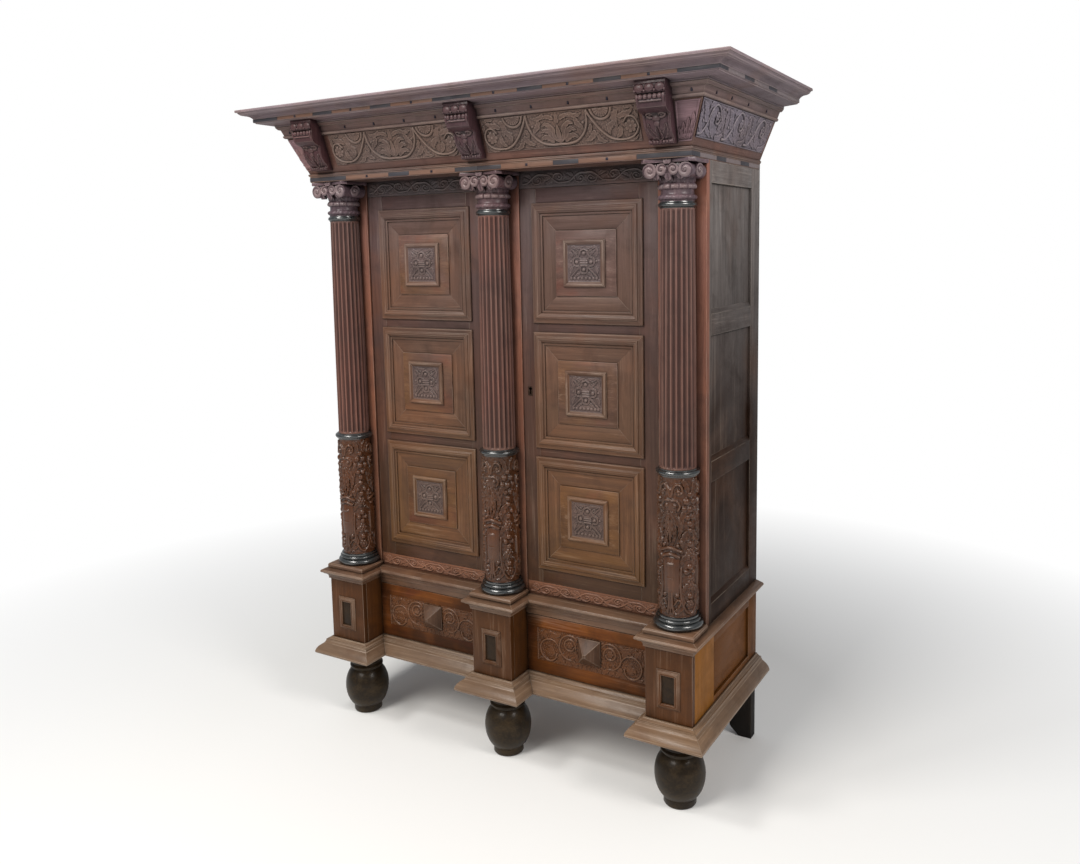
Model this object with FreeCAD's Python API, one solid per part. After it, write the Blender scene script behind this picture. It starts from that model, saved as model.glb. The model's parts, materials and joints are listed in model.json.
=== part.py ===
"""Kas: an oak cupboard on ball feet, with two doors, three columns, two drawers and a cornice.

Sizes are millimetres. x runs to the right, z up, and y back. Depths are measured from the
face of the doors, with the front towards -y; export() then moves every piece so that the
origin lies on the floor under the middle of the cornice.
"""
import FreeCAD, Part
import math
import os

Vector = FreeCAD.Vector

# ------------------------------------------------------------------ driving sizes
# Heights, stacked from the floor up
FOOT_HEIGHT = 243.0
BASE_HEIGHT = 324.0
CASE_HEIGHT = 1391.0
ARCHITRAVE_HEIGHT = 28.0
FRIEZE_HEIGHT = 160.0
CROWN_HEIGHT = 54.0

# Plan
HALF_WIDTH = 711.0
CASE_DEPTH = 472.0
STRIP_WIDTH = 152.0
STRIP_PROUD = 6.0
RECESS_FACE = -16.0
PEDESTAL_FACE = -116.0
ARCHITRAVE_FACE = -120.0

# Boards
BASE_BOARD = 20.0
TOP_BOARD = 22.0
BACK_BOARD = 12.0
SIDE_FRAME = 24.0
PANEL_BOARD = 8.0
STILE_BOARD = 18.0
SHELF_BOARD = 18.0
BACK_STILE = 82.0

# Flat sides that make up a round piece
TURNED_SIDES = 20
SCROLL_SIDES = 12

# Feet
FOOT_RADIUS = 79.5
FOOT_CENTRE_Y = -29.0
FOOT_BALL_HEIGHT = 100.0
FOOT_BALL_RISE = 90.0
FOOT_BALL_DROP = 74.0
FOOT_BALL_STEPS = 6
FOOT_NECK = 54.0
FOOT_TOE = 41.0
FOOT_TOE_HEIGHT = 26.0
FOOT_TOE_SWELL = 4.0
REAR_FOOT_THICK = 40.0
REAR_FOOT_WIDE = 93.0
REAR_FOOT_TOE = 47.0
REAR_FOOT_CUT = 32.0

# Base: mouldings, pedestals and rails
LOWER_MOULD_HEIGHT = 59.0
LOWER_MOULD_REACH = 50.0
OGEE_EDGE = 9.0
OGEE_CHAMFER = 4.0
OGEE_BELLY = 32.0
OGEE_BELLY_SET = 18.0
OGEE_NECK_SET = 30.0
OGEE_NECK_DROP = 14.0
OGEE_STEP_DROP = 9.0
OGEE_STEP_SET = 36.0
OGEE_FILLET = 6.0
OGEE_FILLET_DROP = 3.0
UPPER_MOULD_HEIGHT = 42.0
HOLLOW_FILLET = 5.0
HOLLOW_RISE = 20.0
HOLLOW_SET = 9.0
NOSE_FILLET = 4.0
NOSE_SET = 3.0
LID_ROUND = 8.0
LID_DROP = 6.0
UPPER_MOULD_REACH = 27.0
CHEEK_REACH = 62.0
UPPER_RAIL_DROP = 63.5
BASE_SIDE_TOP_RAIL = 47.0
BASE_SIDE_LOW_RAIL = 57.0
TABLET_WIDTH = 40.0
TABLET_HEIGHT = 86.0
TABLET_THICK = 4.0
TABLET_RISE = 159.5
TABLET_FRAME = 18.0
TABLET_FRAME_PROUD = 9.0
TABLET_FRAME_EDGE = 3.0
TABLET_FRAME_LIP = 5.0

# Drawers
DRAWER_GAP = 2.0
DRAWER_FRONT = 19.5
DRAWER_SIDE = 12.0
DRAWER_BOTTOM = 8.0
DRAWER_BOTTOM_LIFT = 8.0
DRAWER_BACK_GAP = 30.0
DRAWER_SIDE_DROP = 11.5
RUNNER_WIDTH = 39.0
RUNNER_LIP = 6.0
RUNNER_LIP_HEIGHT = 12.0
RUNNER_TOP = 62.7
RUNNING_GAP = 0.3
DIVIDER = 20.0
PULL_WIDTH = 80.0
PULL_HEIGHT = 84.0
PULL_BLOCK = 7.0
PULL_REACH = 45.0
PULL_TIP = 10.0
PULL_RISE = 172.0

# Doors
DOOR_THICK = 30.0
DOOR_GAP = 2.5
MEETING_GAP = 2.0
SQUARES = 3
LOWER_RAIL = 46.0
UPPER_RAIL = 52.0
RAIL_SETBACK = 0.5
DOOR_RAIL_GAP = 1.2
SQUARE_MARGIN = 45.0
SQUARE_OUTER_MARGIN = 47.5
SQUARE_END_MARGIN = 47.0
SQUARE_GAP = 28.3
MOULD_LAP = 14.0
MOULD_WIDTH = 41.0
MOULD_PROUD = 14.0
MOULD_EDGE = 4.0
MOULD_FILLET = 8.0
MOULD_STEP = 7.0
MOULD_CREST = 6.0
MOULD_INNER_FILLET = 6.0
FIELD_WIDTH = 47.0
FIELD_THICK = 3.0
BLOCK_STEP = 6.0
BLOCK_RISE = 7.0
BEVEL_SIDE = 33.0
BEVEL_END = 29.0
PLAQUE_FRAME_BAND = 16.0
PLAQUE_FRAME_CREST = 4.0
PLAQUE_FRAME_PROUD = 8.0
PLAQUE_THICK = 4.0

# Door ironwork
PIN_RADIUS = 3.5
PIN_CLEARANCE = 0.05
PIN_LENGTH = 12.0
PIN_INSET = 12.0
PIN_DEPTH = 7.0
PIN_PLATE_LENGTH = 44.0
PIN_PLATE_WIDTH = 11.0
PIN_PLATE_THICK = 3.0
PIN_COLLAR = 6.5
LOCK_HEIGHT = 1262.0
KEYHOLE_INSET = 25.0
KEYHOLE_RADIUS = 5.5
KEYHOLE_SLOT = 19.0
LOCK_LENGTH = 200.0
LOCK_TALL = 100.0
LOCK_DEEP = 22.0
LOCK_WALL = 2.5
LOCK_SETBACK = 10.0
LOCK_BOLT_LENGTH = 130.0
LOCK_BOLT_TALL = 12.0
LOCK_BOLT_THICK = 8.0
LOCK_BOLT_INSET = 4.0
LOCK_BOLT_TIP = 2.0
BOLT_CLEARANCE = 0.4
KEEPER_LENGTH = 26.0
KEEPER_WALL = 8.0
DOOR_BOLT_RADIUS = 5.0
DOOR_BOLT_LENGTH = 190.0
DOOR_BOLT_INSET = 32.0
DOOR_BOLT_BELOW = 3.0
STAPLE_WIDTH = 30.0
STAPLE_TALL = 15.0
STAPLE_SPACING = 120.0
STOP_DEEP = 18.0
STOP_TALL = 45.0
STOP_GAP = 1.0
STOP_END = 19.0

# Case sides and shelves
SIDE_FRONT_STILE = 16.0
SIDE_END_RAIL = 63.0
SIDE_MID_RAIL = 64.0
SIDE_PANELS = 3
SILL_HEIGHT = 16.0
PANEL_SETBACK = 8.0
SHELVES = 3
SHELF_FRONT = 70.0
BEARER_THICK = 12.0
BEARER_TALL = 25.0
BACK_PLANKS = 6

# Columns, stacked from the base up
COLUMN_CENTRE_Y = -39.5
PLINTH_HALF = 82.0
PLINTH_HEIGHT = 15.0
PLINTH_CHAMFER = 4.0
TORUS_HEIGHT = 40.0
TORUS_RADIUS = 75.8
TORUS_SWELL = 6.0
LOWER_ROLL = 22.0
DRUM_HEIGHT = 425.0
DRUM_RADIUS = 58.0
LOWER_RING_HEIGHT = 20.0
LOWER_RING_RADIUS = 66.7
UPPER_RING_HEIGHT = 18.0
UPPER_RING_RADIUS = 56.0
RING_SWELL = 5.0
RING_SEAT = 2.0
SHAFT_LOW_RADIUS = 54.5
SHAFT_TOP_RADIUS = 49.5
FLUTES = 20
FLUTE_DEPTH = 4.5
FILLET_SHARE = 0.28
FLUTE_CUTS = 4
CAPITAL_HEIGHT = 117.0
ABACUS_HEIGHT = 11.0
ABACUS_HALF = 82.0
ABACUS_HOLLOW = 12.0
ABACUS_HORN = 14.0
BELL_RADIUS = 50.0
BELL_ROLL = 6.0
EGG_RADIUS = 60.0
EGG_LIFT = 42.0
SCROLL_RADIUS = 19.0
SCROLL_CENTRE = 63.0
SCROLL_REACH = 78.0
SCROLL_BLOCK_REACH = 58.0
INNER_SCROLL_RADIUS = 12.0
INNER_SCROLL_CENTRE = 20.0
MOVING_GAP = 1.0

# Cornice: reaches are measured outwards from the architrave's face
ARCHITRAVE_WIDTH = 60.0
ARCHITRAVE_LIP = 4.0
ARCHITRAVE_LIP_HEIGHT = 6.0
ARCHITRAVE_LIP_SLOPE = 4.0
SOFFIT_BOARD = 16.0
FRIEZE_LEAN = 66.0
FRIEZE_BOARD = 20.0
CROWN_REACH = 169.0
CROWN_NOSE = 127.0
CROWN_BACK = 20.0
CROWN_SOFFIT = 78.0
NOSE_LIFT = 13.0
NOSE_HEIGHT = 12.0
NOSE_LIP = 5.0
NOSE_UNDERCUT = 3.0
CROWN_EDGE = 8.0
CROWN_SWELL = 3.0
DUST_BOARD = 12.0
DUST_DROP = 10.0
DUST_PLANKS = 5
CARVING_THICK = 3.0
CARVING_LOW = 24.0
CARVING_TALL = 96.0
CARVING_START_MARGIN = 3.0
CARVING_END_MARGIN = 18.0
CORNER_PANEL_MARGIN = 2.0
CORNER_PANEL_LOW = 14.0
CORNER_PANEL_TALL = 102.0
CORNER_MARGIN = 14.0
SIDE_CARVING_MARGIN = 25.0
BED_HEIGHT = 39.0
BED_BEAD = 9.0
BED_BEAD_PROUD = 6.0
BED_BAND_PROUD = 3.0
BED_LID = 10.0
BED_LID_PROUD = 9.0
BED_LID_EDGE = 3.0
BED_LID_REACH = 11.0
BRACKET_HALF_TOP = 47.0
BRACKET_HALF_FOOT = 37.0
BRACKET_FOOT_RISE = 8.0
BRACKET_REACH = 110.0
BRACKET_TOE = 34.0
BRACKET_NECK = 31.0
BRACKET_TOE_HEIGHT = 12.0
BRACKET_WAIST = 38.0
BRACKET_SHOULDER = 66.0
BRACKET_CAP = 52.0
BRACKET_SCROLL = 51.0

# ------------------------------------------------------------------ derived places
BASE_Z = FOOT_HEIGHT
CASE_Z = BASE_Z + BASE_HEIGHT
CASE_TOP = CASE_Z + CASE_HEIGHT
FRIEZE_Z = CASE_TOP + ARCHITRAVE_HEIGHT
CROWN_Z = FRIEZE_Z + FRIEZE_HEIGHT
CROWN_TOP = CROWN_Z + CROWN_HEIGHT
FLOOR_TOP = BASE_Z + BASE_BOARD
BASE_LID = CASE_Z - TOP_BOARD
LOW_RAIL_TOP = BASE_Z + LOWER_MOULD_HEIGHT
HIGH_RAIL_BOTTOM = CASE_Z - UPPER_RAIL_DROP
BACK_FACE = CASE_DEPTH - BACK_BOARD
HALF_STRIP = STRIP_WIDTH / 2
COLUMN_X = HALF_WIDTH - HALF_STRIP
STRIP_EDGE = HALF_WIDTH - STRIP_WIDTH
STRIP_FACE = -STRIP_PROUD
DOOR_OUTER = STRIP_EDGE - DOOR_GAP
DOOR_Z = CASE_Z + LOWER_RAIL + DOOR_RAIL_GAP
DOOR_TOP = CASE_TOP - UPPER_RAIL - DOOR_RAIL_GAP
PIN_X = DOOR_OUTER - PIN_INSET
SQUARE_X = HALF_STRIP + SQUARE_MARGIN
SQUARE_WIDTH = DOOR_OUTER - SQUARE_OUTER_MARGIN - SQUARE_X
SQUARE_STEP = (DOOR_TOP - DOOR_Z - 2 * SQUARE_END_MARGIN + SQUARE_GAP) / SQUARES
SQUARE_HEIGHT = SQUARE_STEP - SQUARE_GAP
DRAWER_X = HALF_STRIP + DRAWER_GAP
DRAWER_END = STRIP_EDGE - DRAWER_GAP
DRAWER_BACK = BACK_FACE - DRAWER_BACK_GAP
INNER_HALF = HALF_WIDTH - SIDE_FRAME
ORIGIN_Y = (CASE_DEPTH + ARCHITRAVE_FACE - CROWN_REACH) / 2
SIDES = (-1, 1)


# ------------------------------------------------------------------ helpers
def box(x0, x1, y0, y1, z0, z1):
    """Board between two corners; the x pair may come in either order."""
    left = min(x0, x1)
    return Part.makeBox(abs(x1 - x0), y1 - y0, z1 - z0, Vector(left, y0, z0))


def outline(points, place):
    """Face inside a closed outline; a point of four numbers is reached by an arc through
    its last two. place turns a pair of numbers into a point in space."""
    corners = [place(point[0], point[1]) for point in points]
    edges = []
    for index, point in enumerate(points):
        start = corners[index - 1]
        if len(point) == 4:
            middle = place(point[2], point[3])
            edges.append(Part.Arc(start, middle, corners[index]).toShape())
        else:
            edges.append(Part.LineSegment(start, corners[index]).toShape())
    return Part.Face(Part.Wire(edges))


def plan(points, z0, z1):
    """Prism over a plan outline of (x, y) points."""
    face = outline(points, lambda x, y: Vector(x, y, z0))
    return face.extrude(Vector(0, 0, z1 - z0))


def bow(start, end, bulge, steps=3):
    """Points of a round stretch between two outline points, without its first point. bulge
    is how far the middle stands to the right of the way from start to end."""
    run, rise = end[0] - start[0], end[1] - start[1]
    length = math.hypot(run, rise)
    spots = []
    for step in range(1, steps + 1):
        share = step / steps
        lift = bulge * math.sin(math.pi * share) / length
        spots.append((start[0] + run * share + rise * lift, start[1] + rise * share - run * lift))
    return spots


def stacked(rings):
    """Solid with flat faces between rings of as many points each, closed at both ends."""
    loops = [rings[0], rings[-1]]
    for low, high in zip(rings, rings[1:]):
        loops += [[low[i - 1], low[i], high[i], high[i - 1]] for i in range(len(low))]
    shell = Part.makeShell([Part.Face(Part.makePolygon(loop + loop[:1])) for loop in loops])
    solid = Part.makeSolid(shell)
    if solid.Volume < 0:
        solid.reverse()
    return solid


def frustum(x, z, first, last, y0, y1):
    """Solid between two upright rectangles that face the front. first and last are half
    sizes (x, z) at the depths y0 and y1."""
    return stacked([[Vector(x + across * half_x, y, z + up * half_z)
                     for across, up in ((-1, -1), (1, -1), (1, 1), (-1, 1))]
                    for (half_x, half_z), y in ((first, y0), (last, y1))])


def turned(points, x, y):
    """Solid turned about the upright line at (x, y) from its (radius, z) outline, foot first."""
    turns = [2 * math.pi * (index + 0.5) / TURNED_SIDES for index in range(TURNED_SIDES)]
    swell = 1 / math.cos(math.pi / TURNED_SIDES)
    return stacked([[Vector(x + radius * swell * math.cos(turn), y + radius * swell * math.sin(turn), z)
                     for turn in turns] for radius, z in points])


def mitred(points, path, closed=False):
    """Lengths of one moulding along a plan path, mitred where it turns. The profile is in
    (reach, z), and reach is measured to the right of the way the path runs."""
    count = len(path)
    total = count if closed else count - 1
    ways = []
    for index in range(total):
        start = path[index]
        end = path[(index + 1) % count]
        length = math.hypot(end[0] - start[0], end[1] - start[1])
        ways.append(((end[0] - start[0]) / length, (end[1] - start[1]) / length, length))

    def corner(index, reach):
        """Place of the mitre at a path point, at some reach from the path."""
        before = ways[(index - 1) % total] if closed or index > 0 else ways[0]
        after = ways[index % total] if closed or index < total else ways[total - 1]
        scale = reach / (1 + before[0] * after[0] + before[1] * after[1])
        shift_x = (before[1] + after[1]) * scale
        shift_y = -(before[0] + after[0]) * scale
        return (path[index % count][0] + shift_x, path[index % count][1] + shift_y)

    reaches = [point[0] for point in points]
    heights = [point[1] for point in points]
    near, far = min(reaches) - 1, max(reaches) + 1
    low, high = min(heights) - 1, max(heights) + 1
    lengths = []
    for index in range(total):
        way_x, way_y, length = ways[index]
        over = abs(near) + abs(far)
        start_x = path[index][0] - way_x * over
        start_y = path[index][1] - way_y * over
        section = outline(points, lambda reach, z: Vector(
            start_x + way_y * reach, start_y - way_x * reach, z))
        run = section.extrude(Vector(way_x, way_y, 0) * (length + 2 * over))
        wedge = plan([corner(index, near), corner(index + 1, near),
                      corner(index + 1, far), corner(index, far)], low, high)
        lengths.append(run.common(wedge).Solids[0])
    return lengths


def ring(points, x0, x1, z0, z1, y):
    """Four mitred lengths round an upright rectangle that faces the front at depth y. The
    profile is in (reach outside the rectangle, height in front of y)."""
    path = [(x0, z0), (x1, z0), (x1, z1), (x0, z1)]
    lengths = mitred(points, path, closed=True)
    for length in lengths:
        length.rotate(Vector(0, 0, 0), Vector(1, 0, 0), 90)
        length.translate(Vector(0, y, 0))
    return lengths


def mirrored(shape):
    """The same piece on the other side of the middle."""
    return shape.mirror(Vector(0, 0, 0), Vector(1, 0, 0))


def moved(shape, x, y, z):
    """Copy of a shape at another place."""
    copy = shape.copy()
    copy.translate(Vector(x, y, z))
    return copy


def engaged(shape):
    """Column piece cut flat where it stands against its strip."""
    size = 4 * PLINTH_HALF
    bounds = shape.BoundBox
    front = Part.makeBox(size, size, bounds.ZLength + 2,
                         Vector(bounds.Center.x - size / 2, STRIP_FACE - size, bounds.ZMin - 1))
    return shape.common(front)


def export(name, shapes):
    """Write one node; its solids stay separate."""
    body = Part.makeCompound(shapes) if len(shapes) > 1 else shapes[0]
    body.translate(Vector(0, -ORIGIN_Y, 0))
    body.exportStep("parts/" + name + ".step")


# ------------------------------------------------------------------ plan outlines
def breakfront():
    """Base outline from the left back corner round the front to the right back corner."""
    half = [(HALF_STRIP, PEDESTAL_FACE), (HALF_STRIP, RECESS_FACE), (STRIP_EDGE, RECESS_FACE),
            (STRIP_EDGE, PEDESTAL_FACE), (HALF_WIDTH, PEDESTAL_FACE), (HALF_WIDTH, CASE_DEPTH)]
    return [(-x, y) for x, y in reversed(half)] + half


def cornice_path():
    """Cornice outline from the left back corner to the right back corner."""
    half = [(HALF_WIDTH, ARCHITRAVE_FACE), (HALF_WIDTH, CASE_DEPTH)]
    return [(-x, y) for x, y in reversed(half)] + half


# ------------------------------------------------------------------ base
def front_foot(x):
    """Turned foot: a round toe, a big ball that is fullest below its middle, and a neck."""
    points = [(FOOT_TOE, 0)]
    points += bow((FOOT_TOE, 0), (FOOT_NECK, FOOT_TOE_HEIGHT), FOOT_TOE_SWELL)
    widest = math.acos(FOOT_NECK / FOOT_RADIUS)
    for index in range(FOOT_BALL_STEPS + 1):
        turn = widest * (2 * index / FOOT_BALL_STEPS - 1)
        tallness = FOOT_BALL_RISE if turn > 0 else FOOT_BALL_DROP
        points.append((FOOT_RADIUS * math.cos(turn), FOOT_BALL_HEIGHT + tallness * math.sin(turn)))
    points.append((FOOT_NECK, FOOT_HEIGHT))
    return turned(points, x, FOOT_CENTRE_Y)


def rear_foot():
    """Plain plank foot at the right back corner, with its inner edge cut away below."""
    inner = HALF_WIDTH - REAR_FOOT_WIDE
    toe = HALF_WIDTH - REAR_FOOT_TOE
    back = CASE_DEPTH - 2
    points = [(HALF_WIDTH - 1, 0), (HALF_WIDTH - 1, FOOT_HEIGHT), (inner, FOOT_HEIGHT),
              (toe - REAR_FOOT_CUT, REAR_FOOT_CUT), (toe, 0)]
    face = outline(points, lambda x, z: Vector(x, back, z))
    return face.extrude(Vector(0, -REAR_FOOT_THICK, 0))


def base_boards(z0, z1):
    """A board over the whole base, lengthened by a block over each pedestal."""
    boards = [box(-HALF_WIDTH, HALF_WIDTH, RECESS_FACE, CASE_DEPTH, z0, z1)]
    for x in (-COLUMN_X, 0, COLUMN_X):
        boards.append(box(x - HALF_STRIP, x + HALF_STRIP, PEDESTAL_FACE, RECESS_FACE, z0, z1))
    return boards


def base_floor():
    """Bottom board, the two rails that stand on it under the drawers, and its moulding."""
    board = base_boards(BASE_Z, FLOOR_TOP)
    rails = [box(side * HALF_STRIP, side * STRIP_EDGE, RECESS_FACE, RECESS_FACE + BASE_BOARD,
                 FLOOR_TOP, LOW_RAIL_TOP) for side in SIDES]
    return board + rails + lower_moulding()


def base_top():
    """Top board of the base, the two rails under it above the drawers, and its moulding."""
    board = base_boards(BASE_LID, CASE_Z)
    rails = [box(side * HALF_STRIP, side * STRIP_EDGE, RECESS_FACE, RECESS_FACE + BASE_BOARD,
                 HIGH_RAIL_BOTTOM, BASE_LID) for side in SIDES]
    return board + rails + upper_moulding()


def lower_moulding():
    """Big ogee round the foot of the base, with a stepped fillet on top."""
    reach = LOWER_MOULD_REACH
    z0 = BASE_Z
    top = BASE_Z + LOWER_MOULD_HEIGHT
    belly = (reach - OGEE_BELLY_SET, z0 + OGEE_BELLY)
    neck = (reach - OGEE_NECK_SET, top - OGEE_NECK_DROP)
    step = top - OGEE_STEP_DROP
    points = [(0, z0), (reach - OGEE_CHAMFER, z0), (reach, z0 + OGEE_CHAMFER), (reach, z0 + OGEE_EDGE)]
    points += bow((reach, z0 + OGEE_EDGE), belly, 3)
    points += bow(belly, neck, -2, 2)
    points += [(neck[0], step), (reach - OGEE_STEP_SET, step), (OGEE_FILLET, top - OGEE_FILLET_DROP),
               (OGEE_FILLET, top), (0, top)]
    return mitred(points, breakfront())


def upper_moulding():
    """Moulding under the lid of the base: a hollow below a rounded nose."""
    reach = UPPER_MOULD_REACH
    z0 = CASE_Z - UPPER_MOULD_HEIGHT
    fillet, hollow = HOLLOW_FILLET, (reach - HOLLOW_SET, z0 + HOLLOW_RISE)
    low, face = z0 + HOLLOW_RISE + NOSE_FILLET, reach - NOSE_SET
    points = [(0, z0), (fillet, z0), (fillet, z0 + fillet)]
    points += bow((fillet, z0 + fillet), hollow, -NOSE_FILLET)
    points += [(hollow[0], low), (face, low)]
    points += bow((face, low), (face, CASE_Z - LID_ROUND), NOSE_SET)
    points += [(reach - LID_ROUND, CASE_Z - LID_DROP), (0, CASE_Z)]
    return mitred(points, breakfront())


def pedestal(x):
    """Hollow pedestal: a front board and two cheeks, with the moulded frame of its tablet."""
    left, right = x - HALF_STRIP, x + HALF_STRIP
    behind = PEDESTAL_FACE + BASE_BOARD
    boards = [box(left, right, PEDESTAL_FACE, behind, FLOOR_TOP, BASE_LID),
              box(left, left + BASE_BOARD, behind, CHEEK_REACH, FLOOR_TOP, BASE_LID),
              box(right - BASE_BOARD, right, behind, CHEEK_REACH, FLOOR_TOP, BASE_LID)]
    band, proud = TABLET_FRAME, TABLET_FRAME_PROUD
    edge, lip = TABLET_FRAME_EDGE, TABLET_FRAME_LIP
    shoulder = (band - edge - 1, edge + 1)
    points = [(0, 0), (band, 0), (band, edge), shoulder]
    points += bow(shoulder, (lip, proud), 2)
    points += [(lip - edge, proud), (0, proud - edge)]
    z0 = BASE_Z + TABLET_RISE - TABLET_HEIGHT / 2
    frame = ring(points, x - TABLET_WIDTH / 2, x + TABLET_WIDTH / 2, z0, z0 + TABLET_HEIGHT,
                 PEDESTAL_FACE)
    return boards + frame


def tablet(x):
    """Ebony tablet inside a pedestal's frame."""
    z0 = BASE_Z + TABLET_RISE - TABLET_HEIGHT / 2
    return box(x - TABLET_WIDTH / 2, x + TABLET_WIDTH / 2, PEDESTAL_FACE - TABLET_THICK,
               PEDESTAL_FACE, z0, z0 + TABLET_HEIGHT)


def base_side():
    """Right side of the base: two rails, a back stile and a panel set in from their face."""
    x0 = HALF_WIDTH - BASE_BOARD
    stile = CASE_DEPTH - BACK_STILE + 2
    low = BASE_Z + BASE_BOARD + BASE_SIDE_LOW_RAIL
    high = BASE_LID - BASE_SIDE_TOP_RAIL
    panel_x = HALF_WIDTH - PANEL_SETBACK
    return [box(x0, HALF_WIDTH, stile, CASE_DEPTH, FLOOR_TOP, BASE_LID),
            box(x0, HALF_WIDTH, CHEEK_REACH, stile, FLOOR_TOP, low),
            box(x0, HALF_WIDTH, CHEEK_REACH, stile, high, BASE_LID),
            box(panel_x - PANEL_BOARD, panel_x, CHEEK_REACH, stile, low, high)]


def drawer_runners():
    """An L-shaped runner under each side of each drawer; its lip guides the drawer."""
    low, top = FLOOR_TOP, BASE_Z + RUNNER_TOP
    front = RECESS_FACE + BASE_BOARD
    runners = []
    for side in SIDES:
        for edge, way in ((HALF_STRIP, 1), (STRIP_EDGE, -1)):
            points = [(edge, low), (edge + way * RUNNER_WIDTH, low),
                      (edge + way * RUNNER_WIDTH, top), (edge + way * RUNNER_LIP, top),
                      (edge + way * RUNNER_LIP, top + RUNNER_LIP_HEIGHT),
                      (edge, top + RUNNER_LIP_HEIGHT)]
            face = outline(points, lambda x, z: Vector(side * x, front, z))
            runners.append(face.extrude(Vector(0, BACK_FACE - front, 0)))
    return runners


def back_boards():
    """Upright planks that close the base and the case behind, and the cornice's back."""
    planks = [box(-HALF_WIDTH + BASE_BOARD, HALF_WIDTH - BASE_BOARD, BACK_FACE, CASE_DEPTH,
                  FLOOR_TOP, BASE_LID)]
    wide = 2 * INNER_HALF / BACK_PLANKS
    for index in range(BACK_PLANKS):
        left = -INNER_HALF + index * wide
        planks.append(box(left, left + wide, BACK_FACE, CASE_DEPTH, CASE_Z, CASE_TOP))
    beam = HALF_WIDTH - ARCHITRAVE_WIDTH
    low = HALF_WIDTH - FRIEZE_BOARD
    crown = HALF_WIDTH + CROWN_BACK
    dust = CROWN_TOP - DUST_DROP - DUST_BOARD
    half = [(beam, CASE_TOP), (beam, FRIEZE_Z), (low, FRIEZE_Z), (low + FRIEZE_LEAN, CROWN_Z),
            (crown, CROWN_Z), (crown, dust)]
    face = outline(half + [(-x, z) for x, z in reversed(half)], lambda x, z: Vector(x, BACK_FACE, z))
    planks.append(face.extrude(Vector(0, BACK_BOARD, 0)))
    return planks


# ------------------------------------------------------------------ drawers
def drawer_front(side):
    """Front board of one drawer."""
    return box(side * DRAWER_X, side * DRAWER_END, RECESS_FACE, RECESS_FACE + DRAWER_FRONT,
               LOW_RAIL_TOP + DRAWER_GAP, HIGH_RAIL_BOTTOM - DRAWER_GAP)


def drawer_box(side):
    """Two sides, a back and a bottom, open above."""
    left = HALF_STRIP + RUNNER_LIP + DRAWER_GAP
    right = STRIP_EDGE - RUNNER_LIP - DRAWER_GAP
    low = BASE_Z + RUNNER_TOP + RUNNING_GAP
    high = HIGH_RAIL_BOTTOM - DRAWER_GAP - DRAWER_SIDE_DROP
    front = RECESS_FACE + DRAWER_FRONT
    back = DRAWER_BACK - DRAWER_SIDE
    inner_left, inner_right = left + DRAWER_SIDE, right - DRAWER_SIDE
    floor = low + DRAWER_BOTTOM_LIFT
    return [box(side * left, side * inner_left, front, DRAWER_BACK, low, high),
            box(side * inner_right, side * right, front, DRAWER_BACK, low, high),
            box(side * inner_left, side * inner_right, back, DRAWER_BACK, low, high),
            box(side * inner_left, side * inner_right, front, back, floor, floor + DRAWER_BOTTOM)]


def drawer_pull(side):
    """Four-sided pyramid knob on a square block."""
    x = side * (HALF_STRIP + STRIP_EDGE) / 2
    z = BASE_Z + PULL_RISE
    whole = (PULL_WIDTH / 2, PULL_HEIGHT / 2)
    tip = (PULL_TIP / 2, PULL_TIP / 2)
    neck = RECESS_FACE - PULL_BLOCK
    return frustum(x, z, whole, whole, RECESS_FACE, neck).fuse(
        frustum(x, z, whole, tip, neck, RECESS_FACE - PULL_REACH))


# ------------------------------------------------------------------ case
def front_stile(side):
    """Board behind an outer column; the doors hang beside it."""
    return box(side * STRIP_EDGE, side * HALF_WIDTH, STRIP_FACE, STILE_BOARD, CASE_Z, CASE_TOP)


def side_openings():
    """Lower and upper edge of each panel opening in a case side."""
    rails = 2 * SIDE_END_RAIL + (SIDE_PANELS - 1) * SIDE_MID_RAIL
    tall = (CASE_HEIGHT - rails) / SIDE_PANELS
    first = CASE_Z + SIDE_END_RAIL
    return [(first + index * (tall + SIDE_MID_RAIL), first + index * (tall + SIDE_MID_RAIL) + tall)
            for index in range(SIDE_PANELS)]


def shelf_heights():
    """Underside of each shelf."""
    low = CASE_Z + BASE_BOARD
    clear = CASE_HEIGHT - 2 * BASE_BOARD
    return [low + clear * (index + 1) / (SHELVES + 1) for index in range(SHELVES)]


def case_side():
    """Right side of the case: stiles, rails, panels, sloped sills and shelf bearers."""
    front = STILE_BOARD + SIDE_FRONT_STILE
    stile = CASE_DEPTH - BACK_STILE
    solids = [box(INNER_HALF, HALF_WIDTH, STILE_BOARD, front, CASE_Z, CASE_TOP),
              box(INNER_HALF, HALF_WIDTH, stile, CASE_DEPTH, CASE_Z, CASE_TOP)]
    openings = side_openings()
    edges = [CASE_Z] + [z for pair in openings for z in pair] + [CASE_TOP]
    for low, high in zip(edges[0::2], edges[1::2]):
        solids.append(box(INNER_HALF, HALF_WIDTH, front, stile, low, high))
    panel_x = HALF_WIDTH - PANEL_SETBACK
    for low, high in openings:
        solids.append(box(panel_x - PANEL_BOARD, panel_x, front, stile, low, high))
        sill = outline([(panel_x, low), (HALF_WIDTH, low), (panel_x, low + SILL_HEIGHT)],
                       lambda x, z: Vector(x, front, z))
        solids.append(sill.extrude(Vector(0, stile - front, 0)))
    for z in shelf_heights():
        solids.append(box(INNER_HALF - BEARER_THICK, INNER_HALF, SHELF_FRONT, BACK_FACE,
                          z - BEARER_TALL, z))
    return solids


def shelves():
    """Loose shelves on their bearers."""
    return [box(-INNER_HALF, INNER_HALF, SHELF_FRONT, BACK_FACE, z, z + SHELF_BOARD)
            for z in shelf_heights()]


def pin_socket(side, z0, z1):
    """Hole in a rail for a door's pin."""
    return Part.makeCylinder(PIN_RADIUS + PIN_CLEARANCE, z1 - z0,
                             Vector(side * PIN_X, PIN_DEPTH, z0))


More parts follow.
